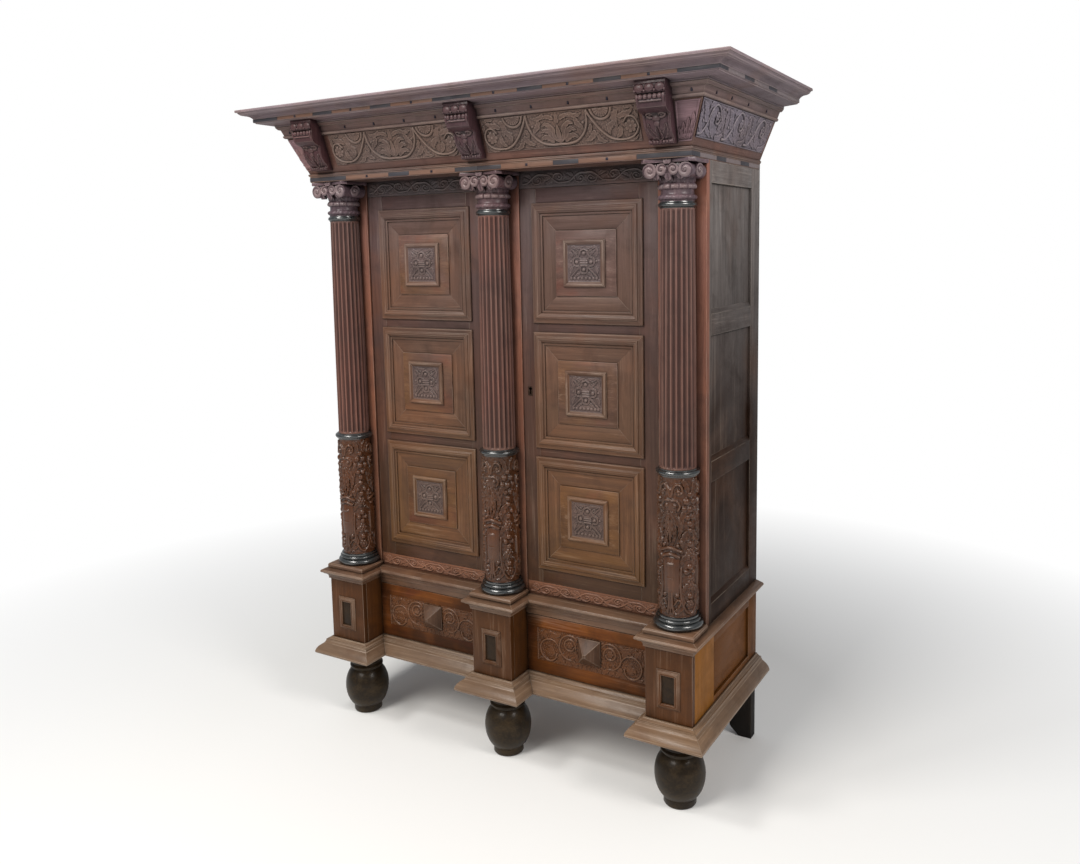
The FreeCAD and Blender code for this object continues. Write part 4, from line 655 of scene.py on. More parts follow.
class Carving:
    """Face carved with ornament: heights in mm over its ground, on a grid across and up it."""

    def __init__(self, low, high, step):
        self.step = step
        self.across, self.up = [np.linspace(low[axis], high[axis],
                                            int((high[axis] - low[axis]) / step) + 1)
                                for axis in (0, 1)]
        self.height = np.zeros((len(self.up), len(self.across)))
        self.set_out()

    def set_out(self, scale=(1, 1), shift=(0, 0)):
        """Scales and then moves the points of what is carved next; a scale of -1 mirrors."""
        self.scale, self.shift = np.array(scale, float), np.array(shift, float)

    def at(self, points):
        """Places of points on the face."""
        return np.array(points, float) * self.scale + self.shift

    def window(self, low, high):
        """Rows and columns between two corners."""
        return (slice(*np.searchsorted(self.up, (low[1], high[1]))),
                slice(*np.searchsorted(self.across, (low[0], high[0]))))

    def about(self, spot, radius):
        """Window round a place, with the ways east and north from it."""
        area = self.window(spot - radius, spot + radius)
        return area, self.across[None, area[1]] - spot[0], self.up[area[0], None] - spot[1]

    def near(self, points, reach):
        """Window round a line; its spots' gaps to it, sides of it and shares of its length.
        A list of points is joined by a flowing line, and an array is a line already."""
        line = self.at(points)
        if isinstance(points, list):
            line = smooth(line)
        area = self.window(line.min(axis=0) - reach, line.max(axis=0) + reach)
        up, across = self.up[area[0], None], self.across[None, area[1]]
        gap = np.full((up.shape[0], across.shape[1]), 1e6)
        side, share = np.zeros(gap.shape), np.zeros(gap.shape)
        lengths = np.hypot(*np.diff(line, axis=0).T) + 1e-9
        done = 0.0
        for start, end, length in zip(line, line[1:], lengths):
            way = (end - start) / length
            east, north = across - start[0], up - start[1]
            run = np.clip(east * way[0] + north * way[1], 0, length)
            away = np.hypot(east - run * way[0], north - run * way[1])
            nearer = away < gap
            gap = np.where(nearer, away, gap)
            side = np.where(nearer, east * way[1] - north * way[0], side)
            share = np.where(nearer, (done + run) / lengths.sum(), share)
            done += length
        return area, gap, np.sign(side), share

    def lift(self, area, shape):
        """Keeps the higher of what is there and a new shape."""
        part = self.height[area]
        np.maximum(part, shape, out=part)

    def stem(self, points, width, height, start=1.0, end=1.0):
        """Round stem whose width goes from start to end as shares of its width."""
        area, gap, _, share = self.near(points, width)
        self.lift(area, height * dome(gap / (width / 2 * (start + (end - start) * share))))

    def strap(self, points, width, height):
        """Flat band with a raised rim on each side."""
        area, gap, _, _ = self.near(points, width)
        rim = 1.2
        body = np.clip((width / 2 - gap) / 0.8, 0, 1)
        edge = np.clip(1 - np.abs(gap - width / 2 + rim) / rim, 0, 1)
        self.lift(area, height * body * (0.7 + 0.3 * edge))

    def leaf(self, points, width, height, lobes=4, cup=0.5):
        """Leaf along a line with a midrib, notched lobes and veins that slant to its edge."""
        area, gap, side, share = self.near(points, width)
        full = np.sin(np.pi * np.clip(share, 0.001, 0.999) ** 0.7) ** 0.65
        notch = 0.66 + 0.34 * np.abs(np.sin(np.pi * (lobes * share + 0.15 * side))) ** 0.45
        part = gap / (width / 2 * full * notch + 1e-6)
        held = np.clip(part, 0, 1)
        rim = np.clip((1 - part) / 0.22, 0, 1) ** 0.5
        veins = np.cos(2 * np.pi * (lobes * share - 0.55 * part))
        body = height * rim * (1 - cup + cup * held ** 1.3 + 0.13 * veins * held)
        rib = height * 0.95 * np.clip(1 - gap / 1.7, 0, 1) * np.clip((1 - share) * 6, 0, 1)
        self.lift(area, np.where(part < 1, np.maximum(body, rib), 0))

    def knob(self, spot, radius, height, flat=1.0):
        """Round knob at a place on the face."""
        area, east, north = self.about(spot, radius)
        self.lift(area, height * dome(np.hypot(east, north / flat) / radius))

    def boss(self, spot, radius, height, flat=1.0):
        """Round knob, grape or eye."""
        self.knob(self.at(spot), radius, height, flat)

    def flower(self, spot, radius, height, petals=6):
        """Rosette with cupped petals round a knob."""
        area, east, north = self.about(self.at(spot), radius)
        wave = np.abs(np.cos(petals * np.arctan2(north, east) / 2))
        part = np.hypot(east, north) / (radius * (0.7 + 0.3 * wave ** 0.6))
        cupped = 0.45 + 0.4 * part ** 1.5 - 0.3 * (wave < 0.25) * part
        petal = cupped * np.clip((1 - part) / 0.2, 0, 1) ** 0.5
        self.lift(area, height * np.where(part < 1, petal, 0))
        self.boss(spot, radius * 0.3, height)

    def fruit(self, spot, radius, height, count=7):
        """Bunch of small round fruit."""
        self.boss(spot, radius * 0.42, height)
        for turn in np.linspace(0, 2 * math.pi, count)[:-1]:
            away = radius * 0.62 * np.array([math.cos(turn), math.sin(turn)])
            self.knob(self.at(spot) + away, radius * 0.37, height * 0.85)

    def fan(self, spot, radius, height, ribs=9):
        """Half shell that hangs: ribs inside a raised rim, round a knob."""
        area, east, north = self.about(self.at(spot), radius)
        part = np.hypot(east, north) / radius
        angle = (np.degrees(np.arctan2(north, east)) - 180) % 360 / 180
        ribbed = 0.55 + 0.45 * np.abs(np.sin(np.pi * ribs * angle)) ** 0.7
        petals = ribbed * (0.5 + 0.5 * part) * np.clip((0.74 - part) / 0.06, 0, 1)
        shell = np.maximum(np.maximum(petals, dome((part - 0.87) / 0.13)), dome(part / 0.24))
        self.lift(area, height * np.where(angle <= 1, shell, 0))

    def tulip(self, foot, tall, width, height):
        """Open flower seen from its side: a middle petal between two that curl outwards."""
        for points, share, cup in (
                ([(0, 0), (-0.3, 0.16), (-0.46, 0.45), (-0.4, 0.75), (-0.62, 1)], 0.4, 0.35),
                ([(0, 0), (0.3, 0.16), (0.46, 0.45), (0.4, 0.75), (0.62, 1)], 0.4, 0.35),
                ([(0, 0.05), (0, 0.5), (0, 1)], 0.5, 0.2)):
            petal = [(foot[0] + width * x, foot[1] + tall * y) for x, y in points]
            self.leaf(petal, width * share, height, 1, cup)
        self.boss((foot[0], foot[1] + tall * 0.1), width * 0.17, height)

    def swell(self, low, high, height):
        """Soft cushion between two corners of the face, that other ornament grows from."""
        half = np.subtract(high, low) / 2
        area, east, north = self.about(np.add(low, half), half)
        self.lift(area, height * dome(east / half[0]) * dome(north / half[1]))

    def fill(self, height, size):
        """Small crumpled leaves over the ground."""
        east, north = self.across[None, :] / size, self.up[:, None] / size
        east = east + 0.4 * np.sin(north * 1.9 + 1.7 * np.sin(east * 0.8))
        north = north * 0.8 + 0.35 * np.sin(east * 2.3 + 1.0)
        lumps = np.abs(np.sin(np.pi * east)) ** 0.6 * np.abs(np.sin(np.pi * north)) ** 0.6
        self.lift(slice(None), height * lumps)

    def border(self, width, height):
        """Plain raised edge round the whole face."""
        east, north = [np.minimum(line - line[0], line[-1] - line)
                       for line in (self.across, self.up)]
        gap = np.minimum(east[None, :], north[:, None])
        self.lift(slice(None), height * np.clip((width - gap) / 0.9, 0, 1))

    def relief(self):
        """0 in the hollows to 1 on the crests; it sets the carving's painted shade in hollows and
        painted highlight on crests.
        """
        mean = soften(self.height, max(int(3.2 / self.step), 1))
        top = max(self.height.max(), 1.0)
        return np.clip(0.4 + 0.42 * (self.height - mean) + 0.22 * self.height / top, 0, 1)

    def piece(self, name, node, finish, place, back):
        """Closed board with this face. place gives the places for mm across, up and out."""
        across, up = np.meshgrid(self.across, self.up)
        across, up, out = [np.pad(values, 1, mode="edge") for values in (across, up, self.height)]
        out[0, :] = out[-1, :] = -back
        out[:, 0] = out[:, -1] = -back
        relief = np.pad(self.relief(), 1, mode="edge")
        grain = np.stack([across, up, out], axis=-1) * MM
        return grid_piece(name, node, finish, place(across, up, out), grain, relief, CARVED_ANGLE)


def scroll_half(face, squeeze):
    """Half of a running scroll: lyre, shell, flower and leaves, from the middle outwards."""
    def leaf(points, width, lobes, height=5.0):
        face.leaf(points, width * 1.12, height, lobes, 0.42)

    leaf([(18, 16), (36, 30), (50, 32), (66, 24)], 17, 4)
    leaf([(14, 24), (28, 44), (44, 52), (60, 46)], 18, 4)
    leaf([(12, 40), (24, 60), (38, 70), (54, 66)], 16, 4)
    leaf([(60, 84), (66, 66), (78, 54), (84, 40)], 17, 4)
    leaf([(10, 82), (22, 90), (36, 92), (48, 86)], 14, 3)
    leaf([(40, 100), (54, 90), (70, 88), (86, 94)], 14, 3)
    leaf([(118, 42), (112, 28), (100, 18), (84, 12)], 18, 4)
    leaf([(126, 34), (128, 20), (140, 8), (154, 6)], 15, 3)
    leaf([(110, 60), (104, 44), (104, 30)], 13, 3)
    leaf([(196, 92), (186, 78), (184, 60), (192, 44)], 22, 5, 4.0)
    leaf([(186, 60), (172, 52), (164, 38), (166, 24)], 18, 4)
    leaf([(196, 70), (212, 78), (230, 82), (246, 94)], 18, 4)
    leaf([(198, 48), (200, 34), (194, 22), (182, 14)], 15, 3)
    leaf([(218, 98), (236, 100), (250, 92)], 13, 3)
    leaf([(208, 10), (222, 6), (240, 8), (252, 18)], 12, 3)
    leaf([(252, 62), (254, 74), (250, 86)], 11, 3)
    face.fan((147, 103), 37 * squeeze, 5.8)
    face.stem([(0, 9), (28, 9), (58, 16), (84, 38), (97, 66), (101, 99)], 10, 6.2, 0.9, 0.8)
    face.stem([(101, 98), (118, 68), (142, 36), (170, 14), (204, 8), (238, 16), (256, 42),
               (246, 68), (226, 72), (212, 58)], 10, 6.4, 0.9, 0.6)
    face.flower((232, 44), 20, 6.4, 7)
    face.boss((84, 66), 5.0, 4.4)
    face.boss((66, 74), 4.0, 4.0)
    face.boss((160, 52), 4.5, 4.2)
    face.boss((174, 84), 4.5, 4.2)


def frieze_face(high):
    """Lyre-shaped scrolls on either side of a middle flower."""
    face = Carving((-PANEL_HALF, 0), (PANEL_HALF, high), 1.35)
    squeeze = high / DRAWN_HIGH
    for side in (-1, 1):
        face.set_out((side, squeeze))
        scroll_half(face, squeeze)
    face.set_out((1, squeeze))
    face.tulip((0, 16), 52, 36, 5.4)
    face.leaf([(0, 70), (0, 86), (0, 102)], 17, 4.0, 2)
    face.boss((0, 10), 7, 5.0)
    face.fill(1.5, 10.0)
    face.border(3.0, 2.2)
    return face


def leaning(place_run, low):
    """Places on the frieze's leaning face, from low over its foot. place_run gives x and y
    for mm along it and out."""
    rise_share, out_share = FRIEZE_TALL / FRIEZE_SLOPE, LEAN / FRIEZE_SLOPE

    def place(along, up, out):
        height = FRIEZE_FOOT + low + up * rise_share
        reach = (height - FRIEZE_FOOT) * LEAN / FRIEZE_TALL + (out + 0.8) * rise_share
        x, y = place_run(along, reach)
        return placed(x, y, height - out * out_share)
    return place


def panel_run(along, reach):
    """Place on the frieze's front."""
    return along + PANEL_MIDDLE, BEAM_FACE - reach


def flank_run(along, reach):
    """Place on the frieze's side; the board's front end follows the leaning corner."""
    front = BEAM_FACE - reach + 10.0
    share = (FLANK_REAR - along) / (FLANK_REAR - FLANK_FRONT)
    return HALF_WIDE + reach, FLANK_REAR - share * (FLANK_REAR - front)


def corner_run(along, reach):
    """Place beside the corner; the board widens upwards with the lean."""
    inner = CORNER_INNER - 10.0 + 0.16 * reach
    share = (along - CORNER_INNER) / CORNER_WIDE
    return inner + share * (HALF_WIDE + reach - 5.0 - inner), BEAM_FACE - reach


def carve_frieze():
    """Carved boards of the frieze: two on the front, one by each corner, one on each side."""
    node = "frieze_panels"
    slope = FRIEZE_SLOPE / FRIEZE_TALL
    front, flank, corner = [
        face(tall * slope).piece("frieze_carving_" + name, node, finish, leaning(run, low), 3.0)
        for name, face, run, low, tall, finish in (
            ("front", frieze_face, panel_run, PANEL_LOW, PANEL_TALL, "carved_frieze_oak"),
            ("side", flank_face, flank_run, PANEL_LOW, PANEL_TALL, "carved_flank_oak"),
            ("corner", corner_face, corner_run, CORNER_LOW, CORNER_TALL, "carved_corner_oak"))]
    pieces = [front, flank, corner, repeat(front, node, (-2 * PANEL_MIDDLE, 0.0, 0.0), 3.1),
              repeat(flank, node, log=1.3, mirrored=True),
              repeat(corner, node, log=2.3, mirrored=True)]
    for piece in pieces:
        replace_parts(piece, node)


def flank_face(high):
    """Side of the frieze: big curling leaves over a waving stem, with flowers between them."""
    face = Carving((FLANK_FRONT, 0), (FLANK_REAR, high), 1.6)

    def leaf(points, width, lobes):
        face.leaf(points, width, 4.2, lobes, 0.45)

    for first in (-166, 38, 242):
        face.set_out((1, high / DRAWN_HIGH), (first, 0))
        leaf([(60, 46), (44, 62), (34, 82), (12, 96)], 32, 5)
        leaf([(32, 18), (14, 30), (6, 52), (12, 76)], 24, 4)
        leaf([(88, 76), (92, 50), (106, 26), (128, 8)], 32, 5)
        leaf([(50, 28), (68, 24), (88, 16), (104, 6)], 20, 4)
        leaf([(146, 84), (164, 78), (180, 60), (186, 34)], 28, 5)
        leaf([(148, 34), (162, 42), (170, 54), (168, 70)], 20, 3)
        leaf([(110, 98), (92, 100), (70, 92), (60, 76)], 22, 4)
        leaf([(140, 12), (160, 8), (182, 14), (200, 30)], 22, 4)
        leaf([(196, 60), (202, 76), (198, 92)], 16, 3)
        leaf([(104, 60), (98, 44), (84, 36)], 14, 3)
        face.stem([(0, 10), (30, 14), (58, 38), (80, 78), (106, 97), (136, 90), (150, 66),
                   (140, 48), (122, 50), (120, 66)], 10, 5.4, 0.9, 0.6)
        face.flower((133, 68), 14, 5.2, 6)
        face.boss((30, 46), 5.5, 4.8)
        face.boss((184, 92), 5.5, 4.8)
    face.fill(1.2, 12.0)
    face.border(3.0, 2.2)
    return face


def corner_face(high):
    """Small board by a corner: a tuft of long leaves in a plain frame."""
    face = Carving((CORNER_INNER, 0), (CORNER_INNER + CORNER_WIDE, high), 1.2)
    face.set_out(shift=(CORNER_INNER + CORNER_WIDE / 2, 0))
    for foot, tip, tall in ((-18, -20, 40), (-7, -8, 54), (5, 6, 66), (17, 19, 78)):
        face.leaf([(foot, 6), (foot * 1.2, tall * 0.5), (tip, tall)], 15, 5.0, 3)
    for foot, tip in ((-12, -15), (0, -2), (12, 13)):
        face.leaf([(foot, 6), (tip, 20), (tip, 36)], 13, 5.8, 2)
    face.border(4.0, 2.2)
    return face


def drawer_face():
    """Scrolls on both sides of the knob: a ringed boss in a big curl, then a larger ring."""
    face = Carving((-200, -56), (200, 56), 1.35)

    def leaf(points, width, lobes):
        face.leaf(points, width, 4.0, lobes, 0.4)

    for side in (-1, 1):
        face.set_out((side, 1))
        leaf([(44, -52), (58, -44), (66, -32), (62, -18)], 16, 3)
        leaf([(70, -52), (82, -40), (86, -26), (80, -14)], 17, 4)
        leaf([(94, -52), (106, -40), (108, -26), (100, -16)], 15, 3)
        leaf([(44, -18), (52, -8), (50, 4)], 12, 2)
        leaf([(44, 50), (52, 36), (48, 22)], 12, 3)
        leaf([(118, 14), (126, 28), (140, 34), (152, 26)], 16, 3)
        leaf([(108, 50), (122, 40), (140, 44), (156, 52)], 15, 4)
        leaf([(160, 20), (168, 34), (164, 50)], 14, 3)
        leaf([(184, 48), (178, 34), (184, 20)], 13, 3)
        leaf([(150, -34), (140, -22), (144, -6), (156, 2)], 17, 4)
        leaf([(138, -10), (148, -14), (160, -20), (166, -30)], 14, 3)
        leaf([(186, -2), (190, 8), (188, 18)], 9, 2)
        leaf([(116, -22), (112, -34), (120, -46), (134, -52)], 14, 3)
        leaf([(168, -46), (180, -50), (190, -44)], 11, 3)
        face.stem([(46, 38), (62, 49), (86, 48), (106, 32), (113, 6), (104, -18), (86, -32),
                   (66, -34)], 9, 5.2, 0.7, 0.8)
        face.stem(spiral((74, 16), 23, 17, 200, -1.0), 7.5, 5.0, 1.0, 0.9)
        face.stem([(109, -14), (118, 8), (136, 22), (160, 22), (180, 8), (186, -14), (176, -38),
                   (154, -50), (132, -42), (124, -24)], 9, 5.4, 0.7, 0.8)
        face.flower((74, 16), 12, 5.2, 6)
        face.flower((172, 34), 10, 4.6, 5)
        face.fruit((152, -24), 12, 5.0, 6)
        face.stem([(196, -54), (196, 54)], 5, 3.6)
        face.boss((124, -34), 5, 4.6)
        face.boss((94, -52), 4, 4.0)
    face.set_out()
    for east in (-36, -18, 0, 18, 36):
        face.leaf([(east * 0.9, -40), (east, -47), (east * 1.15, -55)], 13, 3.6, 1)
    face.fill(2.4, 9.0)
    return face


def rail_face(high, waves, height):
    """Running scroll with fat leaves for a narrow rail, in waves that meet in the middle."""
    face = Carving((-RAIL_HALF, 0), (RAIL_HALF, high), 1.2)
    wave = RAIL_HALF / waves
    for side in (-1, 1):
        for index in range(waves):
            up = 1 if index % 2 else -1
            face.set_out((side * wave / 60, up * high / 34), (side * index * wave, high / 2))
            face.stem([(0, -12), (16, -12), (32, -2), (44, 9), (60, 12)], 6.0, height, 1.0, 0.9)
            face.stem([(32, -2), (27, 11), (13, 13), (5, 4), (12, -4), (20, 1)], 5.5, height, 1.0,
                      0.7)
            face.boss((14, 4), 4.5, height)
            face.leaf([(34, -3), (42, -10), (54, -13)], 12, height, 3)
            face.leaf([(38, 5), (48, 1), (58, -6)], 11, height * 0.95, 3)
            face.leaf([(30, 10), (38, 14), (50, 14)], 8, height * 0.9, 2)
            face.leaf([(2, 12), (-2, 4), (4, -6)], 9, height * 0.9, 3)
    face.fill(height * 0.35, 7.0)
    return face


def plaque_face():
    """Knot of straps between four bosses, with a barred middle and a row of leaves at its foot."""
    face = Carving((-57, -57), (57, 57), 1.2)
    for side in (-1, 1):
        face.set_out((side, 1))
        face.strap([(0, 44), (11, 40), (15, 30), (22, 20), (34, 16), (37, 4), (31, -6), (20, -8),
                    (13, -16), (10, -27), (0, -31)], 7, 3.4)
        face.strap([(8, 10), (20, 20), (32, 34), (44, 44)], 6, 3.0)
        face.strap([(8, -8), (24, -20), (36, -32), (46, -42)], 6.5, 3.6)
        face.boss((25, 4), 6.5, 5.0)
        face.boss((44, 6), 4.2, 3.6)
        face.leaf([(6, 49), (18, 47), (30, 50)], 10, 3.0, 3)
        face.leaf([(28, 44), (36, 50), (48, 48)], 11, 3.0, 3)
        face.leaf([(40, 20), (46, 32), (47, 46)], 11, 3.0, 3)
        face.leaf([(38, -10), (46, -20), (48, -34)], 11, 3.2, 3)
        face.leaf([(12, -30), (22, -34), (34, -44)], 9, 3.2, 3)
        face.stem(spiral((24, 35), 7, 2, 60, 1.2), 3.6, 3.2)
        for east in (7, 20, 33, 44):
            face.boss((east, -46), 5.2, 3.8)
    face.set_out()
    face.stem([(-12, 38), (0, 43), (12, 38)], 5, 4.0)
    face.boss((0, 31), 6.5, 5.2)
    face.boss((0, -20), 6.5, 5.2)
    face.boss((0, 2), 15, 2.6)
    for north in (8, 1, -6):
        face.stem([(-12.0, north), (12.0, north)], 5, 4.2)
    face.fill(1.0, 6.0)
    face.border(2.0, 1.4)
    return face


def upright(middle, depth, low):
    """Places on an upright face round a middle and at a depth; up counts from low."""
    return lambda across, up, out: placed(middle + across, depth - out, low + up)


def carve_boards():
    """Carving on the plaques, the drawers and the two rails."""
    plaque = plaque_face().piece("plaque", "door_right_panels", "carved_plaque_oak",
                                 upright(SQUARE_MIDDLE, -15.2, LOWEST_SQUARE), 2.2)
    for index in range(1, 6):
        left = index > 2
        shift = (-2 * SQUARE_MIDDLE if left else 0.0, 0.0, index % 3 * SQUARE_STEP)
        repeat(plaque, "door_left_panels" if left else "door_right_panels", shift, 0.7 * index)
    drawer = drawer_face().piece("drawer_carving", "drawer_right_front", "carved_drawer_oak",
                                 upright(DRAWER_MIDDLE, -16.5, DRAWER_HEIGHT), 3.0)
    repeat(drawer, "drawer_left_front", (-2 * DRAWER_MIDDLE, 0.0, 0.0), 1.9)
    for name, low, face, log in (("lower", 573.0, rail_face(34.0, 3, 3.2), 2.7),
                                 ("upper", 1913.0, rail_face(38.0, 3, 3.4), 1.1)):
        rail = face.piece(name + "_rail_carving", "rail_" + name, "carved_rail_oak",
                          upright(RAIL_MIDDLE, 0.1, low), 2.0)
        repeat(rail, "rail_" + name, (-2 * RAIL_MIDDLE, 0.0, 0.0), log)


# ------------------------------------------------------------------ turning
def roll(radius, swell, low, high):
    """Outline of a round roll on a turned piece."""
    turns = np.linspace(-math.pi / 2, math.pi / 2, 9)
    middle, half = (low + high) / 2, (high - low) / 2
    return [(radius + swell * math.cos(turn), middle + half * math.sin(turn)) for turn in turns]


def turned(name, node, finish, outline, columns=112, depth=COLUMN_DEPTH, back=STRIP_FACE,
           bumps=None, relief=None):
    """Turned piece from its outline, flat behind where back cuts it. bumps adds to its radius
    and relief gives the carved value that sets its painted shade in hollows and painted
    highlight on crests."""
    radius, height = [np.array(part)[:, None] for part in zip(*outline)]
    turn = np.linspace(0, 2 * math.pi, columns + 1)[None, :]
    if bumps:
        radius = radius + bumps(turn, height)
    across, behind = radius * np.sin(turn), radius * np.cos(turn)
    grain = np.stack(np.broadcast_arrays(height, across, behind), axis=-1) * MM
    places = placed(across, np.minimum(depth + behind, back), height)
    carved = relief(turn, height) if relief else 0.5
    return grid_piece(name, node, finish, places, grain, carved, TURNED_ANGLE)


def turn_feet():
    """Ball feet, each on a low toe."""
    low, high = [math.acos((end / FOOT_RADIUS) ** (1 / 0.75)) for end in (FOOT_TOE, FOOT_NECK)]
    outline = [(1.0, 0.0), (45.0, 0.0), (49.0, 2.0), (FOOT_TOE, 5.0)]
    for turn in np.linspace(-low, high, 30):
        tall = 84.0 if turn > 0 else 90.0
        outline.append((FOOT_RADIUS * math.cos(turn) ** 0.75, FOOT_MIDDLE + tall * math.sin(turn)))
    outline += [(FOOT_NECK, 170.0), (60.0, 174.0), (60.5, 180.0), (57.0, 184.0),
                (FOOT_NECK, 187.0), (FOOT_NECK, 243.0)]
    foot = turned("foot", "foot_front_middle", "foot_black", outline, 96, -29.0, 1e6)
    for side, name in ((-1, "left"), (1, "right")):
        node = "foot_front_" + name
        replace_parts(repeat(foot, node, (side * COLUMN, 0.0, 0.0), side * 0.4), node)
    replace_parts(foot, "foot_front_middle")


def turn_columns():
    """Black bases and rings, carved drums and fluted shafts of the three columns."""
    base = [(60.0, 582.0), (68.0, 582.0), *roll(67.0, 8.8, 582.0, 602.0), (66.0, 603.0),
            *roll(63.5, 5.5, 603.5, 613.5), (61.5, 614.5), (63.0, 616.0), (63.0, 620.0),
            (60.5, 622.0), (56.0, 622.0)]
    low_ring = [(54.0, 1047.0), (60.5, 1047.0), (61.0, 1049.5), *roll(60.0, 6.7, 1050.0, 1064.0),
                (58.5, 1064.5), (58.5, 1067.0), (54.0, 1067.0)]
    top_ring = [(47.0, 1823.0), (51.0, 1823.0), (51.5, 1825.5), *roll(50.5, 5.5, 1826.0, 1838.5),
                (50.5, 1839.0), (50.0, 1841.0), (46.0, 1841.0)]
    pieces = []
    for label, outline in (("base", base), ("lower_ring", low_ring), ("upper_ring", top_ring)):
        ring = turned("column_" + label, "column_middle_ebony", "ebony_black", outline)
        pieces.append(("ebony", ring))
    # The flutes' depth sets the relief value, which paints shade into the flutes.
    shaft = turned("column_shaft", "column_middle_shaft", "column_oak", shaft_outline(), 320,
                   bumps=flutes, relief=lambda turn, height: 0.75 + flutes(turn, height) / 5.5)
    stand([*pieces, ("shaft", shaft), ("drum", carve_drum())])
    for side in COLUMN_SIDES:
        boards("column_%s_drum" % side, "base_top_oak", lambda low, high: high[2] < 0.6)


def stand(pieces):
    """Puts the middle column's pieces in place and copies them for the other two columns."""
    for kind, piece in pieces:
        for side, name in ((-1, "left"), (1, "right")):
            node = "column_%s_%s" % (name, kind)
            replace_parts(repeat(piece, node, (side * COLUMN, 0.0, 0.0), side * 0.6), node)
        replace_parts(piece, "column_middle_" + kind)


def shaft_outline():
    """Slight swell of a shaft and the round ends of its flutes."""
    ends = [0, 3, 5, 6.5, 8.5, 11, 14, 18]
    heights = [SHAFT_FOOT + end for end in ends] + list(range(1125, 1800, 75))
    heights += [SHAFT_HEAD - end for end in reversed(ends)]
    outline = []
    for height in heights:
        part = (height - SHAFT_FOOT) / (SHAFT_HEAD - SHAFT_FOOT)
        outline.append((54.5 - 5.0 * part + 0.9 * math.sin(math.pi * part), height))
    return outline


def flutes(turn, height):
    """Depth of the round flutes with flat fillets between them."""
    part = np.abs((turn * FLUTES / (2 * math.pi)) % 1 - 0.5) / 0.36
    ends = np.minimum(height - SHAFT_FOOT - 3, SHAFT_HEAD - 3 - height) / 11
    return -4.3 * dome(part) * dome(1 - np.clip(ends, 0, 1))


def carve_drum():
    """Straps, swags, hanging fruit and big leaves carved round a drum."""
    around = math.pi * DRUM_RADIUS
    face = Carving((-around, DRUM_FOOT), (around, DRUM_HEAD), 1.7)
    for centre in (-122.0, 0.0, 122.0):
        drum_motif(face, centre)
    for centre in (-61.0, 61.0, 180.0):
        drum_garland(face, centre)
    face.fill(1.1, 12.0)
    face.height[(face.up < DRUM_FOOT + 5) | (face.up > DRUM_HEAD - 5), :] = 1.0
    turn, height = np.meshgrid(face.across / DRUM_RADIUS, face.up)
    radius = 55.0 + face.height
    radius[0, :] = radius[-1, :] = 57.0
    depth = np.minimum(COLUMN_DEPTH - radius * np.cos(turn), STRIP_FACE)
    grain = np.stack([height, turn * 58, radius], axis=-1) * MM
    return grid_piece("column_drum", "column_middle_drum", "carved_column_oak",
                      placed(radius * np.sin(turn), depth, height), grain, face.relief(),
                      CARVED_ANGLE)


def drum_motif(face, centre):
    """Upright run of scrolls and leaves, a bound cushion and leaves at its foot."""
    for half, low, high, tall in ((26, 940, 990, 3.6), (29, 690, 808, 8.2), (12, 862, 942, 3.0)):
        face.swell((centre - half, low), (centre + half, high), tall)
    for side in (-1, 1):
        face.set_out((side, 1), (centre, 0))
        face.stem([(3, 994), (8, 1014), (20, 1026), (33, 1018), (34, 1002), (23, 996)], 9, 7.6, 1,
                  0.8)
        face.boss((24, 1005), 7.0, 8.4)
        face.stem([(4, 978), (19, 977), (28, 962), (22, 948)], 9, 7.8, 1.0, 0.8)
        face.boss((13, 962), 7.0, 8.2)
        face.leaf([(6, 946), (19, 924), (29, 896), (25, 862)], 20, 8.0, 5)
        face.leaf([(3, 934), (11, 904), (13, 872), (7, 842)], 15, 8.2, 4)
        face.boss((32, 854), 7.5, 8.4)
        face.boss((22, 842), 6.5, 8.0)
        face.boss((32, 824), 7.0, 8.0)
        face.stem([(4, 700), (5, 668), (10, 634)], 8, 6.6)
        face.leaf([(10, 636), (26, 646), (36, 668), (33, 700)], 22, 7.6, 4)
        face.boss((20, 690), 7.5, 7.8)
        face.stem([(12, 662), (22, 676), (31, 670), (26, 656)], 7, 7.6)
    face.boss((0, 990), 8, 7.8, 0.7)
    face.boss((0, 1010), 6, 6.4, 0.8)
    for height, half, bend, tall in ((830, 31, 5, 9.4), (812, 25, 4, 8.8)):
        arc = [(-half, height - bend), (0, height + bend), (half, height - bend)]
        face.stem(arc, 12, tall, 0.9, 0.9)
    face.leaf([(0, 945), (0, 905), (0, 850)], 17, 7.4, 5)
    face.stem([(-7, 744), (7, 744)], 9, 9.6)
    face.stem([(-9, 786), (9, 786)], 8, 10.0)
    face.leaf([(0, 704), (0, 676), (0, 634)], 14, 7.0, 4)


def drum_garland(face, centre):
    """Fruit and leaves that hang in a deep loop of strap."""
    for side in (-1, 1):
        face.set_out((side, 1), (centre, 0))
        face.stem([(29, 772), (31, 716), (25, 668), (12, 640), (0, 632)], 11, 7.0, 0.7, 0.9)
        face.leaf([(26, 1040), (16, 1026), (10, 1008), (4, 996)], 19, 6.4, 4)
        face.leaf([(4, 950), (18, 942), (28, 922), (26, 894)], 21, 7.2, 4)
        face.leaf([(2, 886), (14, 878), (25, 858), (27, 832)], 20, 7.0, 4)
        face.leaf([(2, 800), (14, 808), (24, 800), (29, 782)], 18, 6.8, 3)
        face.leaf([(2, 704), (12, 714), (20, 710), (24, 690)], 17, 6.6, 3)
        face.boss((12, 974), 11, 8.8)
        face.boss((20, 952), 9, 8.2)
        face.boss((9, 926), 9.5, 8.4)
        face.boss((13, 862), 8, 7.8)
        face.boss((13, 760), 9, 8.0)
    for height, radius in ((994, 10), (950, 11), (906, 10), (886, 9), (846, 11), (776, 10),
                           (744, 10), (686, 10)):
        face.boss((0, height), radius, 8.6)
    face.fruit((0, 818), 16, 8.2)
    face.fruit((0, 722), 16, 8.0)
    face.flower((0, 660), 16, 7.8, 6)


